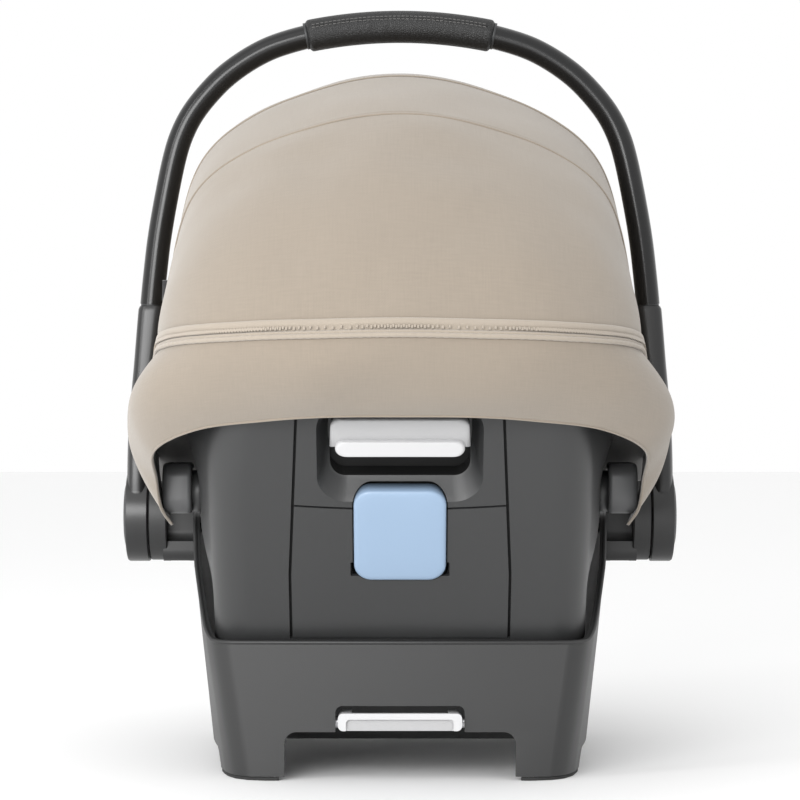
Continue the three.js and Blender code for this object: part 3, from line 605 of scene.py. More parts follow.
rear_grid = soft(rear_panel_grid(), 0.0022, 0.055, 3.1, sewn_edges(ROWS))
rear_panel = laid_cloth("canopy_rear_cloth", rear_grid, canopy_cloth, 0.0012)
mid_grid = soft(between_bows(REAR_BOW - 0.2, MID_BOW - 0.2, 25, 2.0), 0.001, 0.05, 7.7, sewn_edges(25))
mid_panel = laid_cloth("canopy_mid_cloth", mid_grid, canopy_cloth, 0.0012)
front_grid = soft(between_bows(MID_BOW, FRONT_BOW, 61, 3.0), 0.0016, 0.06, 9.2, sewn_edges(61))
front_panel = laid_cloth("canopy_front_cloth", front_grid, canopy_cloth, 0.0012)
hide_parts("canopy_rear_panel")
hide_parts("canopy_mid_panel")
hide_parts("canopy_front_panel")

# %% [markdown]
# The bows turn about the hub axis when the canopy folds, and the cloth between two of them
# gathers. Each panel here only has its transform baked into its mesh.

# %% Panel transforms baked
def apex(angle):
    return tuple(on_canopy(np.array(330.0), np.array(0.0), angle))

apex(64)
apex(REAR_BOW + 1)
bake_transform(rear_panel)
apex(REAR_BOW)
apex(MID_BOW)
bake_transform(mid_panel)
apex(MID_BOW)
apex(FRONT_BOW + 1)
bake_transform(front_panel)

# %% Bound seams over the bows
def binding(name, angle, half_width, lift, body):
    """A narrow folded strip sewn over the cloth along a bow."""
    rows = []
    for s in np.linspace(-1, 1, 9):
        offset = np.degrees(half_width * s / np.maximum(bow_line[:, 0], 150))
        rows.append(on_canopy(bow_line[:, 0], bow_line[:, 1], angle + offset))
    grid = np.array(rows)
    heights = np.array([lift * (1 - s ** 4) + 0.1 for s in np.linspace(-1, 1, 9)]) * MM
    grid = grid + outward(grid) * heights[:, None, None]
    piece = laid_cloth(name, grid, canopy_cloth, 0.0006)
    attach(piece, body)

binding("rear_bow_binding", REAR_BOW, 1.9, 0.9, "canopy_rear")
binding("mid_bow_binding", MID_BOW, 1.9, 0.9, "canopy_mid")
binding("front_hem", FRONT_BOW + 1.5, 6.0, 0.7, "canopy_front")

# %% [markdown]
# ## Zipper
#
# Two tapes meet at a fine coil; the upper one carries on beneath it. The lower tape is edged
# with a corded piping whose stitches pull it in a little every few millimetres.

# %% Zipper tapes
zip_columns = zip_line[zip_line[:, 0] >= 112]
zip_fine = smooth_line(zip_columns, 481)

def zip_rows(offsets, heights):
    """Rows of points along the zipper, at offsets down the cloth and heights off it."""
    rows = [on_canopy(zip_fine[:, 0], zip_fine[:, 1], zip_angle(zip_fine[:, 0], o)) for o in offsets]
    grid = np.array(rows)
    return grid + outward(grid) * (np.array(heights) * MM)[:, None, None]

def tape(name, offsets, heights):
    piece = laid_cloth(name, zip_rows(offsets, heights), tape_cloth, 0.0009)
    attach(piece, "shell")
    return piece

upper_tape = tape("zip_upper_tape", [-7.8, -7.3, -6.1, -4.2, -2.4, -1.6, 1.0, 2.6],
                  [0.5, 1.6, 2.1, 2.0, 1.9, 1.0, 0.6, 0.6])
tape("zip_lower_tape", [1.5, 2.3, 3.2, 4.1, 4.8], [1.2, 1.9, 2.0, 1.6, 1.1])

# %% Zipper coil
def small_blocks(name, centers, axes, size, material):
    """Many equal blocks with tapered ends in one mesh. axes is one 3x3 matrix for each."""
    corners = np.array([[sx, sy, sz] for sx in (-0.5, 0.5) for sy in (-0.5, 0.5) for sz in (-0.5, 0.5)])
    faces = [(0, 1, 3, 2), (4, 6, 7, 5), (0, 4, 5, 1), (2, 3, 7, 6), (0, 2, 6, 4), (1, 5, 7, 3)]
    vertices, all_faces = [], []
    for k, (center, axis) in enumerate(zip(centers, axes)):
        vertices.extend(center + (corners * size) @ axis)
        all_faces.extend(tuple(8 * k + i for i in face) for face in faces)
    piece = new_piece(name, vertices, all_faces, material, smooth=False)
    outwards(piece)
    return piece

def line_axes(points, outer):
    along = np.gradient(points, axis=0)
    along /= np.linalg.norm(along, axis=1, keepdims=True)
    side = np.cross(outer, along)
    side /= np.linalg.norm(side, axis=1, keepdims=True)
    return np.stack([along, side, np.cross(along, side)], 1)

coil_grid = zip_rows([-1.0, 0.0, 1.0], [2.3, 2.3, 2.3])
coil_line, coil_out = coil_grid[1], outward(coil_grid)[1]
coil_length = np.linalg.norm(np.diff(coil_line, axis=0), axis=1).sum()
TOOTH_PITCH = 0.0019
tooth_count = int(coil_length / TOOTH_PITCH)
both = smooth_line(np.hstack([coil_line[::4], coil_out[::4]]), tooth_count)
tooth_points, tooth_out = both[:, :3], both[:, 3:]
tooth_axes = line_axes(tooth_points, tooth_out)
stagger = np.where(np.arange(tooth_count) % 2 == 0, 0.0003, -0.0003)[:, None]
teeth = small_blocks("zip_coil", tooth_points + tooth_axes[:, 1] * stagger, tooth_axes,
                     np.array([0.0013, 0.0022, 0.0012]), tape_cloth)
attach(teeth, "shell")
print(f"{tooth_count} teeth over {coil_length:.3f} m")

# %% Corded piping
def tube(name, points, radius, material, sides=12, closed=False):
    """A round tube along points, in metres. radius may be one number or one for each point."""
    points = np.array(points, float)
    radius = np.broadcast_to(np.array(radius, float), (len(points),))
    along = np.gradient(points, axis=0)
    along /= np.linalg.norm(along, axis=1, keepdims=True)
    frame_up = np.array([0.0, 0.0, 1.0]) if abs(along[0][2]) < 0.9 else np.array([0.0, 1.0, 0.0])
    rings = []
    for point, tangent, r in zip(points, along, radius):
        side = np.cross(frame_up, tangent)
        side /= np.linalg.norm(side)
        frame_up = np.cross(tangent, side)
        turns = np.linspace(0, 2 * math.pi, sides, endpoint=False)[:, None]
        rings.append(point + r * (np.cos(turns) * side + np.sin(turns) * frame_up))
    return sweep(name, rings, material, closed)

piping_line = zip_rows([5.9, 6.0], [1.4, 1.4])[0]
piping_run = np.arange(len(piping_line)) / len(piping_line)
pucker = 0.00175 + 0.00012 * np.sin(piping_run * 2 * math.pi * 120)
piping = tube("zip_piping", piping_line, pucker, tape_cloth, 14)
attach(piping, "shell")
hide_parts("zipper_band")

# %% [markdown]
# ## Rear skirt
#
# The skirt hangs from the zipper and is drawn in under the shell's edge by elastic. Each
# column of its grid is a smooth bend from the zipper, out over a bulge, to the hem. The
# bulge is largest beside the hubs, where the cloth is packed over the folded side wings.

# %% Skirt shape
# For the +x half: radius on the zipper line, bulge point, hem point.
SKIRT = [
    [348, (0, -313, 103), (0, -272, 80)],
    [328, (113, -298, 100), (93, -263, 77)],
    [290, (180, -262, 97), (146, -239, 70)],
    [240, (213, -213, 88), (179, -200, 54)],
    [190, (226, -152, 76), (182, -147, 31)],
    [150, (220, -110, 60), (180, -123, 8)],
    [120, (196, -66, 38), (174, -105, -4)],
]

def curve_through(keys, values, where):
    """A smooth curve through values at increasing keys."""
    keys, values, where = np.array(keys, float), np.array(values, float), np.array(where, float)
    slopes = np.gradient(values, keys, axis=0)
    k = np.clip(np.searchsorted(keys, where, side="right") - 1, 0, len(keys) - 2)
    span = (keys[k + 1] - keys[k])[:, None]
    t = ((where - keys[k])[:, None]) / span
    h00, h10 = 2 * t ** 3 - 3 * t ** 2 + 1, t ** 3 - 2 * t ** 2 + t
    h01, h11 = -2 * t ** 3 + 3 * t ** 2, t ** 3 - t ** 2
    return h00 * values[k] + h10 * span * slopes[k] + h01 * values[k + 1] + h11 * span * slopes[k + 1]

skirt_line = smooth_line(zip_line[zip_line[:, 0] >= 119], 241)
run = np.concatenate([[0], np.cumsum(np.linalg.norm(np.diff(skirt_line, axis=0), axis=1))])
run -= run[-1] / 2
half_line = skirt_line[120:]
stations = [float(np.interp(-r, -half_line[:, 0], run[120:])) for r, _, _ in SKIRT]
stations[0] = 0.0
keys = [-s for s in reversed(stations[1:])] + stations
mirror = np.array([-1, 1, 1])
bulge = [np.array(b) * mirror for _, b, _ in reversed(SKIRT[1:])] + [np.array(b) for _, b, _ in SKIRT]
hem = [np.array(h) * mirror for _, _, h in reversed(SKIRT[1:])] + [np.array(h) for _, _, h in SKIRT]
to_room = np.array([0, HUB.y, HUB.z])
bulge_line = curve_through(keys, bulge, run) * MM + to_room
hem_line = curve_through(keys, hem, run) * MM + to_room
top_line = on_canopy(skirt_line[:, 0], skirt_line[:, 1], zip_angle(skirt_line[:, 0], 6.4))

SKIRT_ROWS = 49
skirt_rows = []
for t in np.linspace(0, 1, SKIRT_ROWS):
    skirt_rows.append((1 - t) ** 2 * top_line + 2 * t * (1 - t) * bulge_line + t * t * hem_line)
fade = sewn_edges(SKIRT_ROWS, len(run), 0.3)
skirt_grid = soft(np.array(skirt_rows), 0.0024, 0.06, 5.5, fade)
# The skirt's inside is dark cloth: a dark lining, and also painted shade for the hollow inside the skirt.
skirt = laid_cloth("rear_skirt", skirt_grid, canopy_cloth, 0.0013,
                   inside=dark_cloth)
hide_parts("canopy_skirt")

# %% [markdown]
# The handle's arms swing through the place where the skirt bulges, and push the cloth in as
# they pass. Here the skirt and its hem cord are joined to the shell, each with a mesh of its own.

# %% Skirt hem
hem_edge = skirt_grid[-1]
hem_inset = hem_edge + (skirt_grid[-3] - hem_edge) * 0.2
hem_cord = tube("skirt_hem", hem_inset, 0.001, canopy_cloth, 10)
for piece in (skirt, hem_cord):
    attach(piece, "shell")
    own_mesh(piece)
print("skirt bulges to", round(float(skirt_grid[:, :, 0].max()), 4))

# %% Tag in the side seam
tag_angle, tag_radius = REAR_BOW, 200
tag_rows = []
for reach in np.linspace(-3, 6.5, 6):
    low = on_canopy(np.array(tag_radius - 8.5), np.array(-178 - reach + 1.5), tag_angle)
    high = on_canopy(np.array(tag_radius + 8.5), np.array(-177 - reach + 1.5), tag_angle)
    tag_rows.append([low, (low * 2 + high) / 3, (low + high * 2) / 3, high])
tag = surface("side_tag", tag_rows, tag_cloth, 0.0012)
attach(tag, "canopy_rear")

# %% [markdown]
# ## Bucket shell
#
# The shell, its foam liner and its pad are three forms of one shape. Seen from the side, a
# form is a back line, a rocker arc and a leg line, with a rim curve above; sections join the
# two. The shell leans back by 30 degrees, so it is made upright and leant at the end.

# %% Bucket form
RIM = [[-90, 244], [-80, 202], [-55, 124], [-22, 61], [30, 12], [105, -38], [185, -79], [232, -101]]
SHELL_R, SHELL_WALL = 178.0, 4.0

def quadratic(a, b, c, count):
    t = np.linspace(0, 1, count)[:, None]
    return (1 - t) ** 2 * np.array(a) + 2 * t * (1 - t) * np.array(b) + t ** 2 * np.array(c)

def evenly(points, count):
    run = np.concatenate([[0], np.cumsum(np.linalg.norm(np.diff(points, axis=0), axis=1))])
    where = np.linspace(0, run[-1], count)
    return np.stack([np.interp(where, run, points[:, k]) for k in range(points.shape[1])], 1)

def side_profile(back, leg, bend, inset):
    """The bottom path and the rim, as many even points of [y, z] in the leaning frame."""
    head = (-112 + 0.7 * inset, 298 - inset)
    foot = (289 - inset, -138 + 0.9 * inset)
    turn = np.linspace(math.pi, 1.5 * math.pi, 120)
    arc = np.stack([bend - back + bend * np.cos(turn), bend - leg + bend * np.sin(turn)], 1)
    path = np.concatenate([
        quadratic(head, (-back, head[1]), (-back, head[1] - 76), 60),
        arc, quadratic((foot[0] - 48, -leg), (foot[0] + 14, -leg), foot, 50)])
    return evenly(path, 1001), smooth_line([head] + RIM + [foot], 1001)

def smooth_step(value, low, high):
    t = np.clip((np.array(value, float) - low) / (high - low), 0, 1)
    return t * t * (3 - 2 * t)

def flare(y, z, depth):
    """How much wider the shell is behind and above the hubs."""
    behind = -(y * math.cos(LEAN) - z * math.sin(LEAN))
    height = y * math.sin(LEAN) + z * math.cos(LEAN)
    spread = 8 * smooth_step(height, -60, 0) + 12 * smooth_step(height, 25, 90)
    return spread * smooth_step(behind, 30, 85) * smooth_step(depth, 5, 85)

def bucket_surface(form, stations=120, flat=8, corner_steps=12, side_steps=14):
    """Rows of points across the seat, from head to foot, each from rim to rim."""
    path, rim = side_profile(form["back"], form["leg"], form["bend"], form["inset"])
    corner, half_width = form["corner"], form["half_width"]
    rows = []
    for k in range(stations + 1):
        even = k / stations
        u = 0.005 + 0.99 * (0.5 * even + 0.5 * (1 - math.cos(math.pi * even)) / 2)
        bottom, top = path[int(round(u * 1000))], rim[int(round(u * 1000))]
        length = np.linalg.norm(top - bottom)
        bend = min(corner, 0.6 * length)
        arc = bend * (1 - np.cos(np.linspace(0, math.pi / 2, corner_steps + 1)))
        steps = np.concatenate([np.zeros(flat), arc, np.linspace(bend, length, side_steps + 1)[1:]])
        points = bottom + (top - bottom) * (steps / length)[:, None]
        depth = np.array([np.min(np.hypot(path[:, 0] - p[0], path[:, 1] - p[1])) for p in points])
        into = np.clip((corner - depth) / corner, 0, 1)
        width = np.where(depth >= corner, half_width + (depth - corner) * 0.068,
                         half_width - corner + corner * np.sqrt(1 - into ** 2))
        width = width + flare(points[:, 0], points[:, 1], depth)
        round_head = math.sqrt(1 - (1 - min(u / 0.24, 1)) ** 2)
        round_foot = (1 - max(2 * u - 1, 0) ** 6) ** (1 / 6)
        t = np.clip((points[:, 0] - 60) / 240, 0, 1)
        width = width * round_head * round_foot * (1 - 0.1 * t * t * (3 - 2 * t))
        share = np.concatenate([np.linspace(0, 1, flat, endpoint=False), np.ones(len(steps) - flat)])
        half = np.stack([width * share, points[:, 0], points[:, 1]], 1)
        rows.append(np.concatenate([half[:0:-1] * (-1, 1, 1), half]))
    return np.array(rows)

def lean(points):
    """Leaning frame in millimetres to room in metres."""
    p = np.array(points, float)
    c, s = math.cos(LEAN), math.sin(LEAN)
    return np.stack([p[..., 0], p[..., 1] * c - p[..., 2] * s, p[..., 1] * s + p[..., 2] * c],
                    -1) * MM + to_room

def form(back, leg, bend, inset, half_width, corner):
    return dict(back=back, leg=leg, bend=bend, inset=inset, half_width=half_width, corner=corner)

def shell_form(inset):
    r = SHELL_R - inset
    return form(r, r, r, inset, 140 - inset, 30 - inset / 2)

def bucket_solid(name, outer_rows, inner_rows, material):
    """A wall between two grids, closed round its rim."""
    rows, columns = outer_rows.shape[:2]
    count = rows * columns
    def quad(base, k, i, flip):
        a, b = base + k * columns + i, base + k * columns + i + 1
        face = (a, b, b + columns, a + columns)
        return tuple(reversed(face)) if flip else face
    faces = [quad(0, k, i, False) for k in range(rows - 1) for i in range(columns - 1)]
    faces += [quad(count, k, i, True) for k in range(rows - 1) for i in range(columns - 1)]
    edge = ([(0, i) for i in range(columns)] + [(k, columns - 1) for k in range(1, rows)]
            + [(rows - 1, i) for i in range(columns - 2, -1, -1)]
            + [(k, 0) for k in range(rows - 2, 0, -1)])
    ids = [k * columns + i for k, i in edge]
    faces += [(a, a + count, b + count, b) for a, b in zip(ids, ids[1:] + ids[:1])]
    uv = np.concatenate([spread_uv(outer_rows), spread_uv(inner_rows)])
    points = np.concatenate([outer_rows.reshape(-1, 3), inner_rows.reshape(-1, 3)])
    piece = new_piece(name, points, faces, material, uv)
    outwards(piece)
    return piece

# %% Cutters
def prism(name, outline, low, high, axis="y", place=None):
    """A block with the given outline, from low to high along an axis. Points are in millimetres."""
    place = place or lean
    ends = []
    for reach in (low, high):
        for a, b in outline:
            ends.append((a, reach, b) if axis == "y" else (reach, a, b) if axis == "x" else (a, b, reach))
    n = len(outline)
    faces = [tuple(range(n)), tuple(reversed(range(n, 2 * n)))]
    faces += [(i, i + n, (i + 1) % n + n, (i + 1) % n) for i in range(n)]
    piece = new_piece(name, place(ends), faces, shell_grey, smooth=False)
    outwards(piece)
    return piece

def rounded(x0, x1, z0, z1, radius, steps=10):
    turn = []
    for cx, cz, start in ((x1 - radius, z0 + radius, -90), (x1 - radius, z1 - radius, 0),
                          (x0 + radius, z1 - radius, 90), (x0 + radius, z0 + radius, 180)):
        for a in np.radians(np.linspace(start, start + 90, steps + 1)):
            turn.append((cx + radius * math.cos(a), cz + radius * math.sin(a)))
    return turn

def level(points):
    """Level frame in millimetres to room in metres."""
    return np.array(points, float) * MM + to_room

def carve(piece, *cutters, operation="DIFFERENCE"):
    for cutter in cutters:
        modify(piece, "BOOLEAN", object=cutter, operation=operation, solver="EXACT")
        bpy.data.objects.remove(cutter, do_unlink=True)
    return piece

def soften(piece, width, segments=3, angle=30):
    modify(piece, "BEVEL", width=width * MM, segments=segments, limit_method="ANGLE",
           angle_limit=math.radians(angle), use_clamp_overlap=True)
    by_angle(piece, 40)
    modify(piece, "WEIGHTED_NORMAL", keep_sharp=True, weight=90)

def fit(piece, body, node_slot, *nodes):
    """Joins a piece to its body and hides the CAD nodes it stands for. node_slot is not used."""
    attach(piece, body)
    if nodes:
        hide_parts(*nodes)
    return piece

# %% Shell with its window
PANEL_LOW, PANEL_SPLIT, PANEL_HIGH, GROOVE = 4, 120, 232, 1.1

def panel_half(z, grow=0.0):
    return float(np.interp(z, [60, 200], [81, 74])) + grow

def panel_outline(low, high, grow=0.0, sag=0.0):
    """Corners of the panel between two heights; sag curves its lower edge down in the middle."""
    zs = [low] + [z for z in (60, 200) if low < z < high] + [high]
    right = [(panel_half(z, grow), z) for z in zs]
    left = [(-x, z) for x, z in reversed(right)]
    across = np.linspace(-1, 1, 17)[1:-1]
    lower = [(s * panel_half(low, grow), low - sag * (1 - s * s)) for s in across]
    return right + left + lower

shell = bucket_solid("bucket_shell", lean(bucket_surface(shell_form(0))),
                     lean(bucket_surface(shell_form(SHELL_WALL), 120)), shell_grey)
window = prism("window", panel_outline(PANEL_LOW - GROOVE, PANEL_HIGH + GROOVE, GROOVE), -198, -160)
turns = np.linspace(0, 2 * math.pi, 24, endpoint=False)
pivot_bore = prism("pivot_bore", [(7 * math.cos(a), 7 * math.sin(a)) for a in turns], -170, 170, "x", level)
carve(shell, window, pivot_bore)
by_angle(shell, 30)
fit(shell, "shell", "shell_plastic", "shell")
print("shell", len(shell.data.polygons), "faces")

# %% [markdown]
# ## Back panel
#
# Two covers fill the window, with a groove all round them that a near-black plate behind makes
# dark: painted shade. The upper one has the pocket for the recline lever: fingers reach in under
# the lever's lip, where near-black faces paint the shade. The lower one carries the release
# paddle, which sits proud of a shallow well.

# %% Upper cover with the lever pocket
FACE = -SHELL_R
SEAM = 1.0  # how far each cover stays inside its opening

# A near-black plate behind the covers' grooves: painted shade, so that the grooves read dark.
backing = prism("seam_backing", panel_outline(PANEL_LOW - 3, PANEL_HIGH + 3, 3), FACE + 4.2, FACE + 5)
carve(backing, prism("backing_hole", panel_outline(PANEL_LOW + 5, PANEL_SPLIT - 7, -6), FACE, FACE + 9),
      prism("backing_hole", panel_outline(PANEL_SPLIT + 7, PANEL_HIGH - 5, -6), FACE, FACE + 9),
      prism("backing_hole", rounded(-63, 63, 100, 140, 3), FACE, FACE + 9))
paint(backing, painted_shade_black)
fit(backing, "shell", "dark_plastic")
upper = prism("upper_cover", panel_outline(PANEL_SPLIT + 0.8, PANEL_HIGH, -SEAM, 3.0), FACE, FACE + 3)
tray = prism("tray", rounded(-62, 62, 121, 206, 16), FACE + 0.5, FACE + 27)
carve(upper, tray, operation="UNION")

# The pocket is wide and rounded at the face and narrower at its floor.
# Each row: depth y, half width, lower and upper edge, corner radius.
POCKET = ((-182, 62.5, 121.5, 207, 22), (-178, 60, 123.5, 205, 21), (-174, 58, 128, 203, 20),
          (-166, 55.5, 136, 202, 18), (-158, 53.5, 148, 201, 16), (-154.4, 52, 152, 200, 14))
pocket = sweep("pocket", lean([[(px, y, pz) for px, pz in rounded(-x, x, z0, z1, r)]
                               for y, x, z0, z1, r in POCKET]), shell_grey)
PADDLE = (-33.7, 33.7, 56.5, 133.5, 13)
def paddle_outline(grow):
    x0, x1, z0, z1, r = PADDLE
    return rounded(x0 - grow, x1 + grow, z0 - grow, z1 + grow, r + grow)

carve(upper, pocket, prism("paddle_hole", paddle_outline(1.0), FACE - 6, FACE + 20))
# The mouth's cut faces take the near-black: painted shade under the lever's lip.
mouth = prism("mouth", rounded(-51, 51, 138, 172, 12), FACE, FACE + 26.2)
paint(mouth, painted_shade_black)
modify(upper, "BOOLEAN", object=mouth, operation="DIFFERENCE", solver="EXACT", material_mode="TRANSFER")
bpy.data.objects.remove(mouth, do_unlink=True)
soften(upper, 0.7, 3, 35)
fit(upper, "shell", "shell_plastic", "back_bezel")

# A near-black plate at the back of the pocket: painted shade.
shadow_plate = prism("pocket_back", rounded(-50, 50, 148, 196, 12), FACE + 22.6, FACE + 23.4)
paint(shadow_plate, painted_shade_black)
fit(shadow_plate, "shell", "dark_plastic")

# %% Lower cover
top_corner, wide = panel_half(PANEL_SPLIT, -SEAM), 81 - SEAM
top_edge = [(s * top_corner, PANEL_SPLIT - 0.8 - 3.0 * (1 - s * s)) for s in np.linspace(1, -1, 27)]
lower_outline = ([(wide, PANEL_LOW), (wide, 60)] + top_edge + [(-wide, 60), (-wide, PANEL_LOW)])
lower = prism("lower_cover", lower_outline, FACE, FACE + 3)
well = prism("well", rounded(-38.4, 38.4, 49.6, 116, 14), FACE + 1, FACE + 19.4)
carve(lower, well, operation="UNION")
carve(lower, prism("well_hollow", rounded(-36, 36, 52, 150, 12), FACE + 3, FACE + 17),
      prism("paddle_hole", paddle_outline(1.0), FACE - 6, FACE + 16),
      prism("finger_notch_right", rounded(30, 36.4, 59, 71, 1.2), FACE - 6, FACE + 6),
      prism("finger_notch_left", rounded(-36.4, -30, 59, 71, 1.2), FACE - 6, FACE + 6))
soften(lower, 0.7, 3, 35)
fit(lower, "shell", "shell_plastic", "back_cover")

# %% Recline lever
def crowned(name, outline_xz, y_out, y_in, crown, material, inset_steps, scale_center):
    """A button with a softly domed face: rings of the outline shrink towards its middle."""
    cx, cz = scale_center
    rings = [[(x, y_in, z) for x, z in outline_xz], [(x, y_out + crown, z) for x, z in outline_xz]]
    for inset, rise in inset_steps:
        ring = []
        for x, z in outline_xz:
            d = math.hypot(x - cx, z - cz)
            k = (d - inset) / d
            ring.append((cx + (x - cx) * k, y_out + crown - rise, cz + (z - cz) * k))
        rings.append(ring)
    return sweep(name, lean(rings), material)

plate_top = [(0.97 * x, z) for x, z in rounded(-51.5, 51.5, 172, 194, 8) if z > 180]
plate_outline = [(-50.5, 171.5), (50.5, 171.5)] + plate_top
# The plate is the lever's white plastic made darker than the lip: painted shade.
plate = crowned("recline_plate", plate_outline, -181.5, -174, 2.0, shaded_lever_white,
                [(0.5, 0.9), (1.4, 1.6), (3.0, 1.95), (8.0, 2.1)], (0, 181))
lip = crowned("recline_lip", rounded(-46.5, 46.5, 165.5, 178, 6), -185.5, -177, 2.4, lever_white,
              [(0.5, 1.1), (1.4, 1.9), (2.8, 2.35), (4.0, 2.4)], (0, 172))
fit(plate, "recline_lever", "white_plastic", "recline_lever")
fit(lip, "recline_lever", "white_plastic")

# %% Release paddle
paddle = crowned("release_paddle", rounded(*PADDLE, 16), -181.0, -169.0, 2.2, paddle_blue,
                 [(0.4, 0.9), (1.2, 1.6), (2.6, 2.05), (6.0, 2.3), (14.0, 2.5), (26.0, 2.6)], (0, 95))
fit(paddle, "paddle", "blue_plastic", "release_button")

# %% Belt guides
KNOB_Y, KNOB_Z = -95, 24.5
# Each row: distance from the middle, and how far the outline shrinks there.
KNOB_ENDS = ((158.7, 3.0), (159.2, 1.3), (160.4, 0.3), (162, 0.0), (177, 0.0), (179.4, 0.7),
             (180.7, 2.2), (181, 4.0))
NECK_Z, NECK_R = 22, 16
for side in (1, -1):
    knob_outline = rounded(-115, -75, 5, 44, 12, 12)
    rings = []
    for x, shrink in KNOB_ENDS:
        ring = []
        for y, z in knob_outline:
            dy, dz = y - KNOB_Y, z - KNOB_Z
            d = math.hypot(dy, dz)
            ring.append((side * x, KNOB_Y + dy * (d - shrink) / d, KNOB_Z + dz * (d - shrink) / d))
        rings.append(ring)
    knob = sweep("belt_guide_knob", level(rings), knob_grey)
    neck_rings = [[(side * x, KNOB_Y + NECK_R * math.cos(a), NECK_Z + NECK_R * math.sin(a)) for a in turns]
                  for x in (148, 159.5)]
    neck = sweep("belt_guide_neck", level(neck_rings), shell_grey)
    by_angle(knob, 50)
    node = "belt_guide_right" if side == 1 else "belt_guide_left"
    fit(knob, "shell", "shell_plastic", node)
    fit(neck, "shell", "shell_plastic")

# %% [markdown]
# ## Cradle frame
#
# The frame is a wall 4 mm thick that runs round under the shell and rises to the hubs at
# its middle. Arches in its foot let a car base's latches in.

# %% Frame wall
FRAME_PLAN = [[0, -166], [0.42, -166], [0.8, -165.6], [0.9, -162], [0.965, -153], [0.995, -138],
              [1, -122], [1, -105], [1, -88], [1, -72], [1, -55], [1, -30], [1, 0], [1, 30], [1, 60],
              [1, 95], [1, 125], [0.985, 143], [0.95, 156], [0.88, 163], [0.75, 165], [0.4, 165], [0, 165]]
FRAME_TOP = [[-166, -87], [-150, -86.5], [-138, -81], [-122, -70], [-105, -56], [-88, -40], [-72, -22],
             [-55, -3], [-30, 4], [30, 5], [60, -18], [95, -62], [125, -96], [150, -114], [165, -119]]
GROUND = -191.0

def frame_point(share, y, z):
    rear = lookup([[-191, 125], [-87, 142], [8, 150]], z)
    middle = lookup([[-191, 146], [-36, 162]], z)
    front = lookup([[-191, 143], [-80, 150]], z)
    if y < 0:
        s = math.sin(math.pi / 2 * min(max((y + 166) / 166, 0), 1))
        half = rear + (middle - rear) * s
    else:
        half = middle + (front - middle) * (y / 165) ** 2
    return (share * half, y, z)

half_plan = smooth_line(FRAME_PLAN, 121)
plan = np.concatenate([half_plan, half_plan[-2:0:-1] * (-1, 1)])
smooth_top = smooth_line(FRAME_TOP, 200)
LEVELS = 12

def frame_rings():
    outer = []
    for share, y in plan:
        top = float(np.interp(y, smooth_top[:, 0], smooth_top[:, 1]))
        levels = GROUND + (top - GROUND) * np.linspace(0, 1, LEVELS)
        outer.append([frame_point(share, y, z) for z in levels])
    outer = np.array(outer)
    along = np.roll(outer, -1, 0) - np.roll(outer, 1, 0)
    inward = np.stack([-along[:, :, 1], along[:, :, 0], np.zeros(along.shape[:2])], 2)
    inward /= np.linalg.norm(inward, axis=2, keepdims=True)
    inner = outer + inward * 4.0
    return np.concatenate([outer, inner[:, ::-1]], 1)

rings = frame_rings()
count, n = rings.shape[:2]
wall = new_piece("cradle_wall", level(rings).reshape(-1, 3), ring_faces(count, n, count), frame_grey)
outwards(wall)

def arch(half, height, radius, low, high, axis="y"):
    return prism("arch", rounded(-half, half, GROUND - 40, GROUND + height, radius), low, high, axis, level)

carve(wall, arch(86, 36, 9, -180, -120), arch(101, 30, 9, 120, 180), arch(108, 18, 9, -190, 190, "x"),
      prism("lever_notch", rounded(-48, 48, GROUND + 20, GROUND + 55.5, 5), -180, -120, "y", level),
      prism("pivot_notch", rounded(-30, 15, -14, 20, 6), -170, 170, "x", level),
      prism("floor_slab", [(-200, -200), (200, -200), (200, 200), (-200, 200)],
            GROUND - 5, GROUND + 2.8, "z", level))
soften(wall, 0.9, 3, 32)
fit(wall, "frame", "frame_plastic", "cradle_frame")
print("frame wall", len(wall.data.polygons), "faces")

# %% A rolled lip round the frame's top edge
rim_line = np.array([frame_point(share, y, float(np.interp(y, smooth_top[:, 0], smooth_top[:, 1])) - 1.4)
                     for share, y in plan])
lip_rings = []
tangents = np.roll(rim_line, -1, 0) - np.roll(rim_line, 1, 0)
for point, tangent in zip(rim_line, tangents):
    tangent = tangent / np.linalg.norm(tangent)
    outer_way = np.cross(tangent, (0, 0, 1))
    outer_way /= np.linalg.norm(outer_way)
    up = np.cross(outer_way, tangent)
    lip_rings.append([point + outer_way * (-0.6 + 1.8 * math.cos(a)) + up * 1.6 * math.sin(a)
                      for a in np.linspace(0, 2 * math.pi, 12, endpoint=False)])
frame_lip = sweep("frame_lip", level(lip_rings), frame_grey, closed=True)
fit(frame_lip, "frame", "frame_plastic")

# %% Feet, rods and base lever
for name in ("foot_pad_rear_right", "foot_pad_rear_left", "foot_pad_front_right", "foot_pad_front_left"):
    moulded_copy(name, rubber_black, 0.0004, 2)

ROD_Z, ROD_R, ROD_CHAMFER = GROUND + 42, 4.4, 0.8
def rod(name, y, half, node):
    ends = ((-half, ROD_R - ROD_CHAMFER), (-half + ROD_CHAMFER, ROD_R),
            (half - ROD_CHAMFER, ROD_R), (half, ROD_R - ROD_CHAMFER))
    rings = [[(x, y + r * math.cos(a), ROD_Z + r * math.sin(a)) for a in turns] for x, r in ends]
    piece = sweep(name, level(rings), steel)
    by_angle(piece, 40)
    fit(piece, "frame", "steel", node)

rod("rear_rod", -150, 119, "latch_rod_rear")
rod("front_rod", 149, 137, "latch_rod_front")

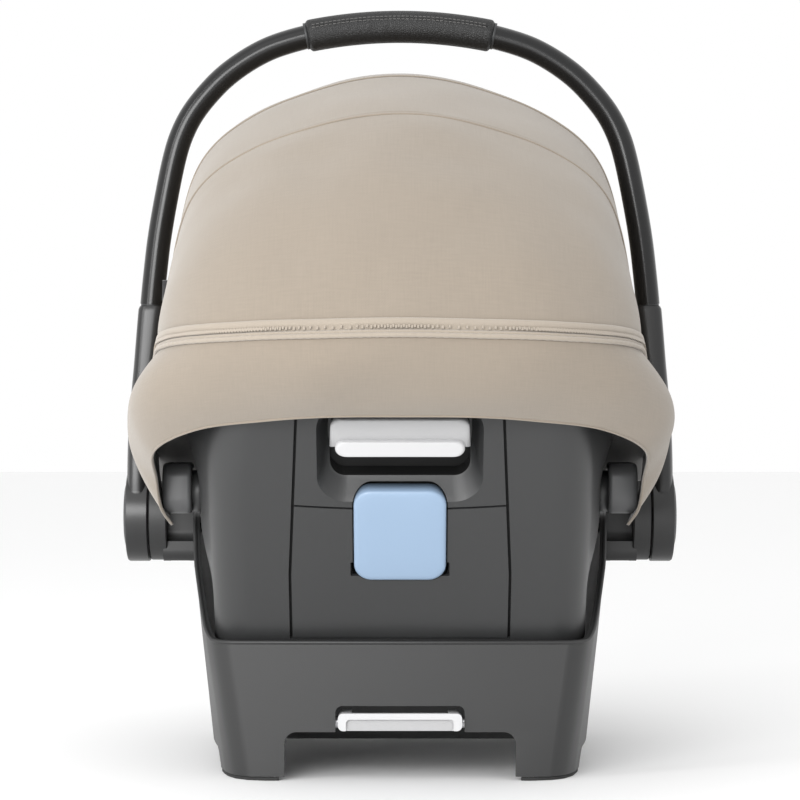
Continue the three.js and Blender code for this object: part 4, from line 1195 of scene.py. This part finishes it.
u_outer = rounded(-46, 46, GROUND + 37.5, GROUND + 50.5, 4)
u_grip = prism("base_lever", u_outer, -172, -142, "y", level)
carve(u_grip, prism("hollow", [(-36, GROUND + 30), (36, GROUND + 30), (36, GROUND + 60), (-36, GROUND + 60)],
                    -166.5, -130, "y", level),
      prism("rod_bore", [(-150 + 5 * math.cos(a), ROD_Z + 5 * math.sin(a)) for a in turns],
            -60, 60, "x", level),
      prism("finger_hollow", rounded(-40, 40, GROUND + 30, GROUND + 46, 3), -176, -169.4, "y", level))
soften(u_grip, 1.0, 3, 30)
paint(u_grip, lever_white)
fit(u_grip, "base_lever", "white_plastic", "base_release_lever")
# The panel inside the grip is the same white plastic made darker: painted shade in the recess.
grip_panel = prism("base_lever_panel", rounded(-39, 39, GROUND + 37.6, GROUND + 45, 2.5),
                   -170.1, -169.2, "y", level)
paint(grip_panel, shaded_lever_white)
fit(grip_panel, "base_lever", "white_plastic")

# %% [markdown]
# ## Hubs and handle
#
# The handle is a round-backed tube in one bend, with a leather-grain grip over its top and a
# moulded arm at each end. Each arm ends in a hub housing with a push button in its outer
# face; a thin groove shows where the housing meets the fixed boss.

# %% Turned pieces
def turned(name, profile, side, material, segments=72):
    """A piece turned about the hub axis from [radius, x] pairs, for the right or left side."""
    rings = [[(side * x, r * math.cos(a), r * math.sin(a))
              for a in np.linspace(0, 2 * math.pi, segments, endpoint=False)] for r, x in profile]
    piece = sweep(name, level(rings), material)
    by_angle(piece, 32)
    return piece

def ellipse_ring(center, across, radial, deep, count=40, power=2.0):
    """A ring round a point: an ellipse, or a squarer one for a power above 2."""
    ring = []
    for a in np.linspace(0, 2 * math.pi, count, endpoint=False):
        c, s = math.cos(a), math.sin(a)
        c = math.copysign(abs(c) ** (2 / power), c)
        s = math.copysign(abs(s) ** (2 / power), s)
        ring.append((center[0] + across[0] * c * radial, center[1] + s * deep,
                     center[2] + across[1] * c * radial))
    return ring

HANDLE_LINE = [[168, 198.2], [188, 196.3], [220, 192.6], [252, 187.2], [284, 180.6], [304, 174.4],
               [322, 165], [340, 150.5], [354, 135.5], [367, 116], [376, 96], [384, 66],
               [388.3, 34], [390, 0]]
whole_handle = [[x, z] for z, x in HANDLE_LINE] + [[-x, z] for z, x in reversed(HANDLE_LINE[:-1])]
handle_line = smooth_line(whole_handle, 241)

def oval_sweep(name, line, radial, deep, material, power=2.0):
    along = np.gradient(line, axis=0)
    along /= np.linalg.norm(along, axis=1, keepdims=True)
    radial = np.broadcast_to(radial, (len(line),))
    deep = np.broadcast_to(deep, (len(line),))
    rings = [ellipse_ring((p[0], 0, p[1]), (t[1], -t[0]), a, b, 40, power)
             for p, t, a, b in zip(line, along, radial, deep)]
    return sweep(name, level(rings), material)

handle_tube = oval_sweep("handle_bend", handle_line, 9.5, 12, tube_coating)
by_angle(handle_tube, 40)
fit(handle_tube, "handle", "handle_tube", "handle_tube")

# %% Rivet plugs on the tube
for side in (1, -1):
    plug_place = (side * 153.5, -11.2, 336.5)
    rings = [[(plug_place[0] + r * math.cos(a), y, plug_place[2] + r * math.sin(a)) for a in turns]
             for y, r in ((-9.0, 3.9), (-11.0, 3.9), (-11.35, 3.5), (-11.4, 2.0))]
    fit(sweep("tube_plug", level(rings), tube_coating), "handle", "handle_tube")

# %% Grip
GRIP_HALF, GRIP_TOP, GRIP_DROP, GRIP_POWER = 73.6, 390.2, 7.5, 2.15
t = np.linspace(-1, 1, 97)
grip_line = np.stack([t * GRIP_HALF, GRIP_TOP - GRIP_DROP * t * t], 1)
fullness = np.sqrt(1 - (1 - np.clip((1 - np.abs(t)) / 0.045, 0, 1)) ** 2)
grip = oval_sweep("grip_cover", grip_line, 10.9 + 1.8 * fullness, 13.4 + 2.6 * fullness, grip_leather,
                  GRIP_POWER)
fit(grip, "handle", "grip_leather", "handle_grip")

def grip_point(x, turn_angle, lift=0.0):
    """A point on the grip's skin; the angle runs from the top towards the rear."""
    s = x / GRIP_HALF
    c, d = math.cos(turn_angle), math.sin(turn_angle)
    c = math.copysign(abs(c) ** (2 / GRIP_POWER), c)
    d = math.copysign(abs(d) ** (2 / GRIP_POWER), d)
    return (x, -(16 + lift) * d, GRIP_TOP - GRIP_DROP * s * s + (12.7 + lift) * c)

seam_line = level([grip_point(x, 1.15) for x in np.linspace(-70, 70, 80)])
seam = tube("grip_seam", seam_line, 0.00055, grip_leather, 8)
fit(seam, "handle", "grip_leather")
stitch_centers, stitch_axes = [], []
for x in np.arange(-69, 69.1, 3.4):
    for angle in (1.05, 1.25):
        p0 = np.array(level(grip_point(x - 1, angle, 0.15)))
        p1 = np.array(level(grip_point(x + 1, angle, 0.15)))
        way = (p1 - p0) / np.linalg.norm(p1 - p0)
        out = np.array([0, -math.sin(angle), math.cos(angle)])
        side_way = np.cross(out, way)
        stitch_centers.append((p0 + p1) / 2)
        stitch_axes.append(np.stack([way, side_way / np.linalg.norm(side_way), out]))
STITCH = np.array([0.0024, 0.0005, 0.0005])
grip_stitches = small_blocks("grip_stitches", stitch_centers, stitch_axes, STITCH, dark_cloth)
fit(grip_stitches, "handle", "grip_leather")
for side in (1, -1):
    x = side * 74.6
    collar_line = np.array([[x - side * 1.0, 382.9], [x, 382.7], [x + side * 1.2, 382.45]])
    collar = oval_sweep("grip_collar", collar_line, 10.6, 13.1, dark_grey)
    fit(collar, "handle", "dark_plastic")

# %% Arms and hubs
for side in (1, -1):
    joint_line = np.array([[side * 198.5, 164.5], [side * 198.2, 168.0], [side * 197.6, 174.0]])
    fit(oval_sweep("arm_joint", joint_line, 8.9, 11.4, dark_grey), "handle", "dark_plastic")

# Each row: height, distance from the middle, half thickness and half depth.
ARM_LINE = [[0, 208, 9, 33], [30, 208, 9, 32], [60, 207.4, 9.2, 27.5], [90, 205.4, 9.5, 21.5],
            [120, 202.6, 9.8, 17.0], [145, 200.4, 10.1, 14.4], [163, 198.7, 10.3, 13.2],
            [166, 198.4, 10.0, 12.8], [166.6, 198.35, 9.4, 12.2]]
# Profiles turned about the hub axis: radius and distance from the middle.
HOUSING = [(30, 199), (36, 199), (37, 200), (37, 215.2), (36.2, 216.6), (34.6, 217), (29.2, 217),
           (28.4, 216.4), (28.2, 215.6), (28.2, 209)]
BOSS = [(20, 188), (20, 184), (35, 184), (36, 185), (36, 197.6), (35.2, 198.4), (31.6, 198.4),
        (31.5, 192), (27.5, 192), (27.5, 198.4), (25, 198.4), (25, 188)]
BUTTON = [(5, 212), (27.4, 212), (27.4, 217.4), (26.6, 218.3), (24.6, 218.6), (23.8, 219.0),
          (20, 219.0), (19.4, 218.6), (6, 218.5)]
for side, suffix in ((1, "right"), (-1, "left")):
    arm_table = smooth_line(ARM_LINE, 60)
    rings = [ellipse_ring((side * x, 0, z), (1, 0), a, b, 48, 3.2) for z, x, a, b in arm_table]
    arm = sweep("arm_upright", level(rings), arm_grey)
    housing = turned("hub_housing", HOUSING, side, arm_grey)
    carve(arm, housing, operation="UNION")
    carve(arm, turned("bore", [(28, 207.5), (28, 225)], side, arm_grey),
          turned("cavity", [(25, 190), (25, 203.4)], side, arm_grey))
    paint(arm, arm_grey)
    soften(arm, 0.5, 2, 40)
    fit(arm, "handle", "frame_plastic", "handle_arm_" + suffix)
    boss = turned("hub_boss", BOSS, side, frame_grey)
    bracket = prism("bracket", rounded(-25, 25, -36, 8, 9), *sorted((side * 163, side * 187.5)), "x", level)
    carve(boss, bracket, operation="UNION")
    carve(boss, prism("socket", [(-18, -40), (18, -40), (18, -22), (-18, -22)],
                      *sorted((side * 167, side * 182)), "x", level),
          prism("neck_left", rounded(-40, -17, -20, 20, 8), *sorted((side * 160, side * 184)), "x", level))
    paint(boss, frame_grey)
    soften(boss, 1.2, 3, 40)
    fit(boss, "frame", "frame_plastic", "hub_boss_" + suffix)
    button = turned("hub_button", BUTTON, side, dark_grey)
    fit(button, "button_" + suffix, "dark_plastic", "handle_button_" + suffix)
    for name in ("lock_gear_", "gear_spring_", "pivot_pin_"):
        made = moulded_copy(name + suffix, dark_grey if name == "lock_gear_" else steel, 0.0003, 2)

# %% Bows and the rail behind the panel
for name in ("canopy_bow_rear", "canopy_bow_mid", "canopy_bow_front"):
    moulded_copy(name, dark_grey, 0.0003, 2)
moulded_copy("recline_rail", steel, 0.0004, 2)

# %% [markdown]
# A lining closes the space between the skirt and the shell's rim on each side, so that no light
# comes through behind the belt guides. Its dark cloth is painted shade for that hollow.

# %% Side linings
shell_rim = lean(bucket_surface(shell_form(2.0)))[:, -1]
rim_side = shell_rim[(shell_rim[:, 2] > HUB.z + 36 * MM) & (shell_rim[:, 1] < HUB.y - 44 * MM) &
                     (shell_rim[:, 2] < HUB.z + 80 * MM)]
rim_side = evenly(rim_side[::-1], 41)
LINING_TOP = [[191, -58, 220], [190, -72, 230], [188, -90, 244], [185, -106, 256]]
skirt_edge = evenly(np.array(LINING_TOP) * MM, 41)
for side in (1, -1):
    rows = [(skirt_edge * (1 - t) + rim_side * t + (0, 0, -0.006 * math.sin(math.pi * t))) * (side, 1, 1)
            for t in np.linspace(0, 1, 15)]
    # Dark cloth: painted shade behind the skirt.
    lining = laid_cloth("side_lining", np.array(rows), dark_cloth, 0.0008)
    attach(lining, "shell")

# %% [markdown]
# ## Inside the bucket
#
# The foam liner and the pad are two more forms of the bucket. The pad's cloth is quilted:
# it puffs up between lines of stitching that run across it and down both sides.

# %% Foam liner
def cushion_form(back, leg, bend, inset):
    return form(back, leg, bend, inset, 140 - inset, 26)

liner = bucket_solid("liner", lean(bucket_surface(shell_form(7.4))),
                     lean(bucket_surface(cushion_form(131, 151, 112, 13))), liner_foam)
cavity = prism("liner_cavity", [(-88, -14), (88, -14), (88, 238), (-88, 238)], -180, -145)
carve(liner, cavity)
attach(liner, "shell")
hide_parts("foam_liner")

# %% Quilted pad
def quilting(uv, rows, columns):
    """How far the cloth puffs up at each point of the pad, in metres."""
    across, along = uv[:, 0].reshape(rows, columns), uv[:, 1].reshape(rows, columns)
    seam = np.minimum(np.abs(np.abs(across) - 0.062), np.abs(np.abs(across) - 0.128))
    cross_seam = np.abs((along / 0.058) % 1.0 - 0.5) * 0.058
    cross_seam = np.where(np.abs(across) < 0.062, 0.029 - cross_seam, 0.03)
    nearest = np.minimum(seam, cross_seam)
    return 0.0034 * (1 - np.exp(-nearest / 0.006))

pad_inner = lean(bucket_surface(cushion_form(112, 134, 95, 24), 160, 22, 14, 22))
pad_outer = lean(bucket_surface(cushion_form(129, 149, 110, 15.8), 160, 22, 14, 22))
inner_normals = cloth_normals(pad_inner)
seat_middle = np.array(leaning(0, -20, 20))
toward = ((seat_middle - pad_inner) * inner_normals).sum(2).mean()
inner_normals = inner_normals if toward > 0 else -inner_normals
puff = quilting(spread_uv(pad_inner), *pad_inner.shape[:2])
pad_rows, pad_columns = pad_inner.shape[:2]
edge_fade = np.minimum(sewn_edges(pad_rows, pad_columns, 0.03), sewn_edges(pad_columns, pad_rows, 0.05).T)
quilted = pad_inner + inner_normals * (puff * edge_fade)[:, :, None]
pad = bucket_solid("quilted_pad", pad_outer, quilted, dark_cloth)
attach(pad, "shell")
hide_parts("seat_pad")

# %% Piping round the pad's rim
rim_rows = (pad_outer + pad_inner) / 2
loop = np.concatenate([rim_rows[0], rim_rows[1:, -1], rim_rows[-1, -2::-1], rim_rows[-2:0:-1, 0]])
loop = evenly(np.concatenate([loop, loop[:1]]), 600)[:-1]
rim_piping = tube("pad_piping", loop, 0.0042, dark_cloth, 12, closed=True)
fit(rim_piping, "shell", "pad_fabric")

# %% Head support
def band_outline(thickness):
    middle = [[-92, 60], [-93, 45], [-90, 26], [-72, 13], [-40, 9], [0, 8.6], [40, 9], [72, 13],
              [90, 26], [93, 45], [92, 60]]
    line = smooth_line(middle, 61)
    along = np.gradient(line, axis=0)
    along /= np.linalg.norm(along, axis=1, keepdims=True)
    side = np.stack([-along[:, 1], along[:, 0]], 1)
    t = np.linspace(-1, 1, 61)
    swell = np.sqrt(np.clip(1 - np.abs(t) ** 9, 0.02, 1)) * (1 + 0.12 * np.cos(t * math.pi * 3))
    outer = line - side * (thickness * swell)[:, None]
    inner = line + side * (thickness * swell)[:, None]
    return np.concatenate([outer, inner[::-1]])

head_rings = []
for s in np.linspace(-1, 1, 41):
    z = 147 + 48.5 * s
    fullness = math.sqrt(max(1 - abs(s) ** 3.2, 0.01))
    shrink = 1 - 0.12 * abs(s) ** 4
    ring = band_outline(8.3 * fullness)
    head_rings.append([(x * shrink, -111.2 + y * shrink, z) for x, y in ring])
head_support = sweep("head_cushion", lean(head_rings), pad_cloth)
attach(head_support, "shell")
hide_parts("head_support")

# %% [markdown]
# ## Harness
#
# Two shoulder straps and two lap straps meet in the buckle over a crotch strap. Each strap is
# a flat ribbon of webbing that follows the pad.

# %% Straps
SEAT_PATH = np.concatenate([
    np.array([[-112.0, 220.0]]),
    np.stack([-17 + 95 * np.cos(np.linspace(math.pi, 1.5 * math.pi, 60)),
              -39 + 95 * np.sin(np.linspace(math.pi, 1.5 * math.pi, 60))], 1),
    np.array([[230.0, -134.0]])])
SEAT_RUN = np.concatenate([[0], np.cumsum(np.linalg.norm(np.diff(SEAT_PATH, axis=0), axis=1))])

def on_seat(x, distance, lift):
    """A point above the pad: distance runs down the back and along the leg rest."""
    y, z = (np.interp(distance, SEAT_RUN, SEAT_PATH[:, k]) for k in range(2))
    y1, z1 = (np.interp(distance + 4, SEAT_RUN, SEAT_PATH[:, k]) for k in range(2))
    y0, z0 = (np.interp(distance - 4, SEAT_RUN, SEAT_PATH[:, k]) for k in range(2))
    length = math.hypot(y1 - y0, z1 - z0)
    return (x, y - (z1 - z0) / length * lift, z + (y1 - y0) / length * lift)

def ribbon(name, points, side, width, thickness, material, power=5.0):
    """A flat strap along points of the leaning frame, with rounded edges."""
    line = smooth_line(points, 60)
    along = np.gradient(line, axis=0)
    along /= np.linalg.norm(along, axis=1, keepdims=True)
    rings = []
    for point, tangent in zip(line, along):
        up = np.cross(tangent, side)
        up /= np.linalg.norm(up)
        across = np.cross(up, tangent)
        ring = []
        for a in np.linspace(0, 2 * math.pi, 28, endpoint=False):
            c, d = math.cos(a), math.sin(a)
            c, d = math.copysign(abs(c) ** (2 / power), c), math.copysign(abs(d) ** (2 / power), d)
            ring.append(point + across * c * width / 2 + up * d * thickness / 2)
        rings.append(ring)
    return sweep(name, lean(rings), material)

# Each row: distance from the middle, distance along the seat, height above the pad.
SHOULDER = [[34, 130, 5], [33, 150, 5], [30, 180, 5.5], [28, 215, 5.5], [25, 255, 5], [22, 290, 7.5],
            [20, 320, 10], [18, 350, 12], [17, 366, 12.5]]
COVER = [[33.6, 131, 11], [33, 145, 11.2], [31.5, 165, 11.4], [29.6, 189, 11.4]]
LAP = [[96, -70, -96], [84, -50, -113], [66, -32, -121], [52, -18, -121.5], [41, -10, -121]]
for side, suffix in ((1, "right"), (-1, "left")):
    shoulder = ribbon("shoulder_webbing", [on_seat(side * x, d, h) for x, d, h in SHOULDER],
                      (1, 0, 0), 30, 2.2, strap_weave)
    fit(shoulder, "shell", "webbing", "shoulder_strap_" + suffix)
    cover = ribbon("shoulder_cover", [on_seat(side * x, d, h) for x, d, h in COVER],
                   (1, 0, 0), 45, 7.4, pad_cloth, 3.0)
    fit(cover, "shell", "pad_fabric", "strap_pad_" + suffix)
    lap = ribbon("lap_webbing", [(side * x, y, z) for x, y, z in LAP],
                 (side * 0.25, 0.9, -0.3), 26, 2.2, strap_weave)
    fit(lap, "shell", "webbing", "lap_strap_" + suffix)
crotch = ribbon("crotch_webbing", [on_seat(0, d, h) for d, h in ((432, 10), (450, 8), (470, 4), (486, 2.2))],
                (1, 0, 0), 36, 2.2, strap_weave)
fit(crotch, "shell", "webbing", "crotch_strap")

# %% Buckle, chest clip and adjuster
moulded_copy("chest_clip", dark_grey, 0.0016, 4)
moulded_copy("buckle_body", dark_grey, 0.0028, 5)
moulded_copy("buckle_button", button_red, 0.0016, 4)
moulded_copy("adjuster_housing", dark_grey, 0.0012, 4)
moulded_copy("adjuster_button", lever_white, 0.0008, 3)

# %% CAD nodes still shown
for node, piece in frame["nodes"].items():
    if not piece.hide_render:
        print("CAD node still shown:", node)
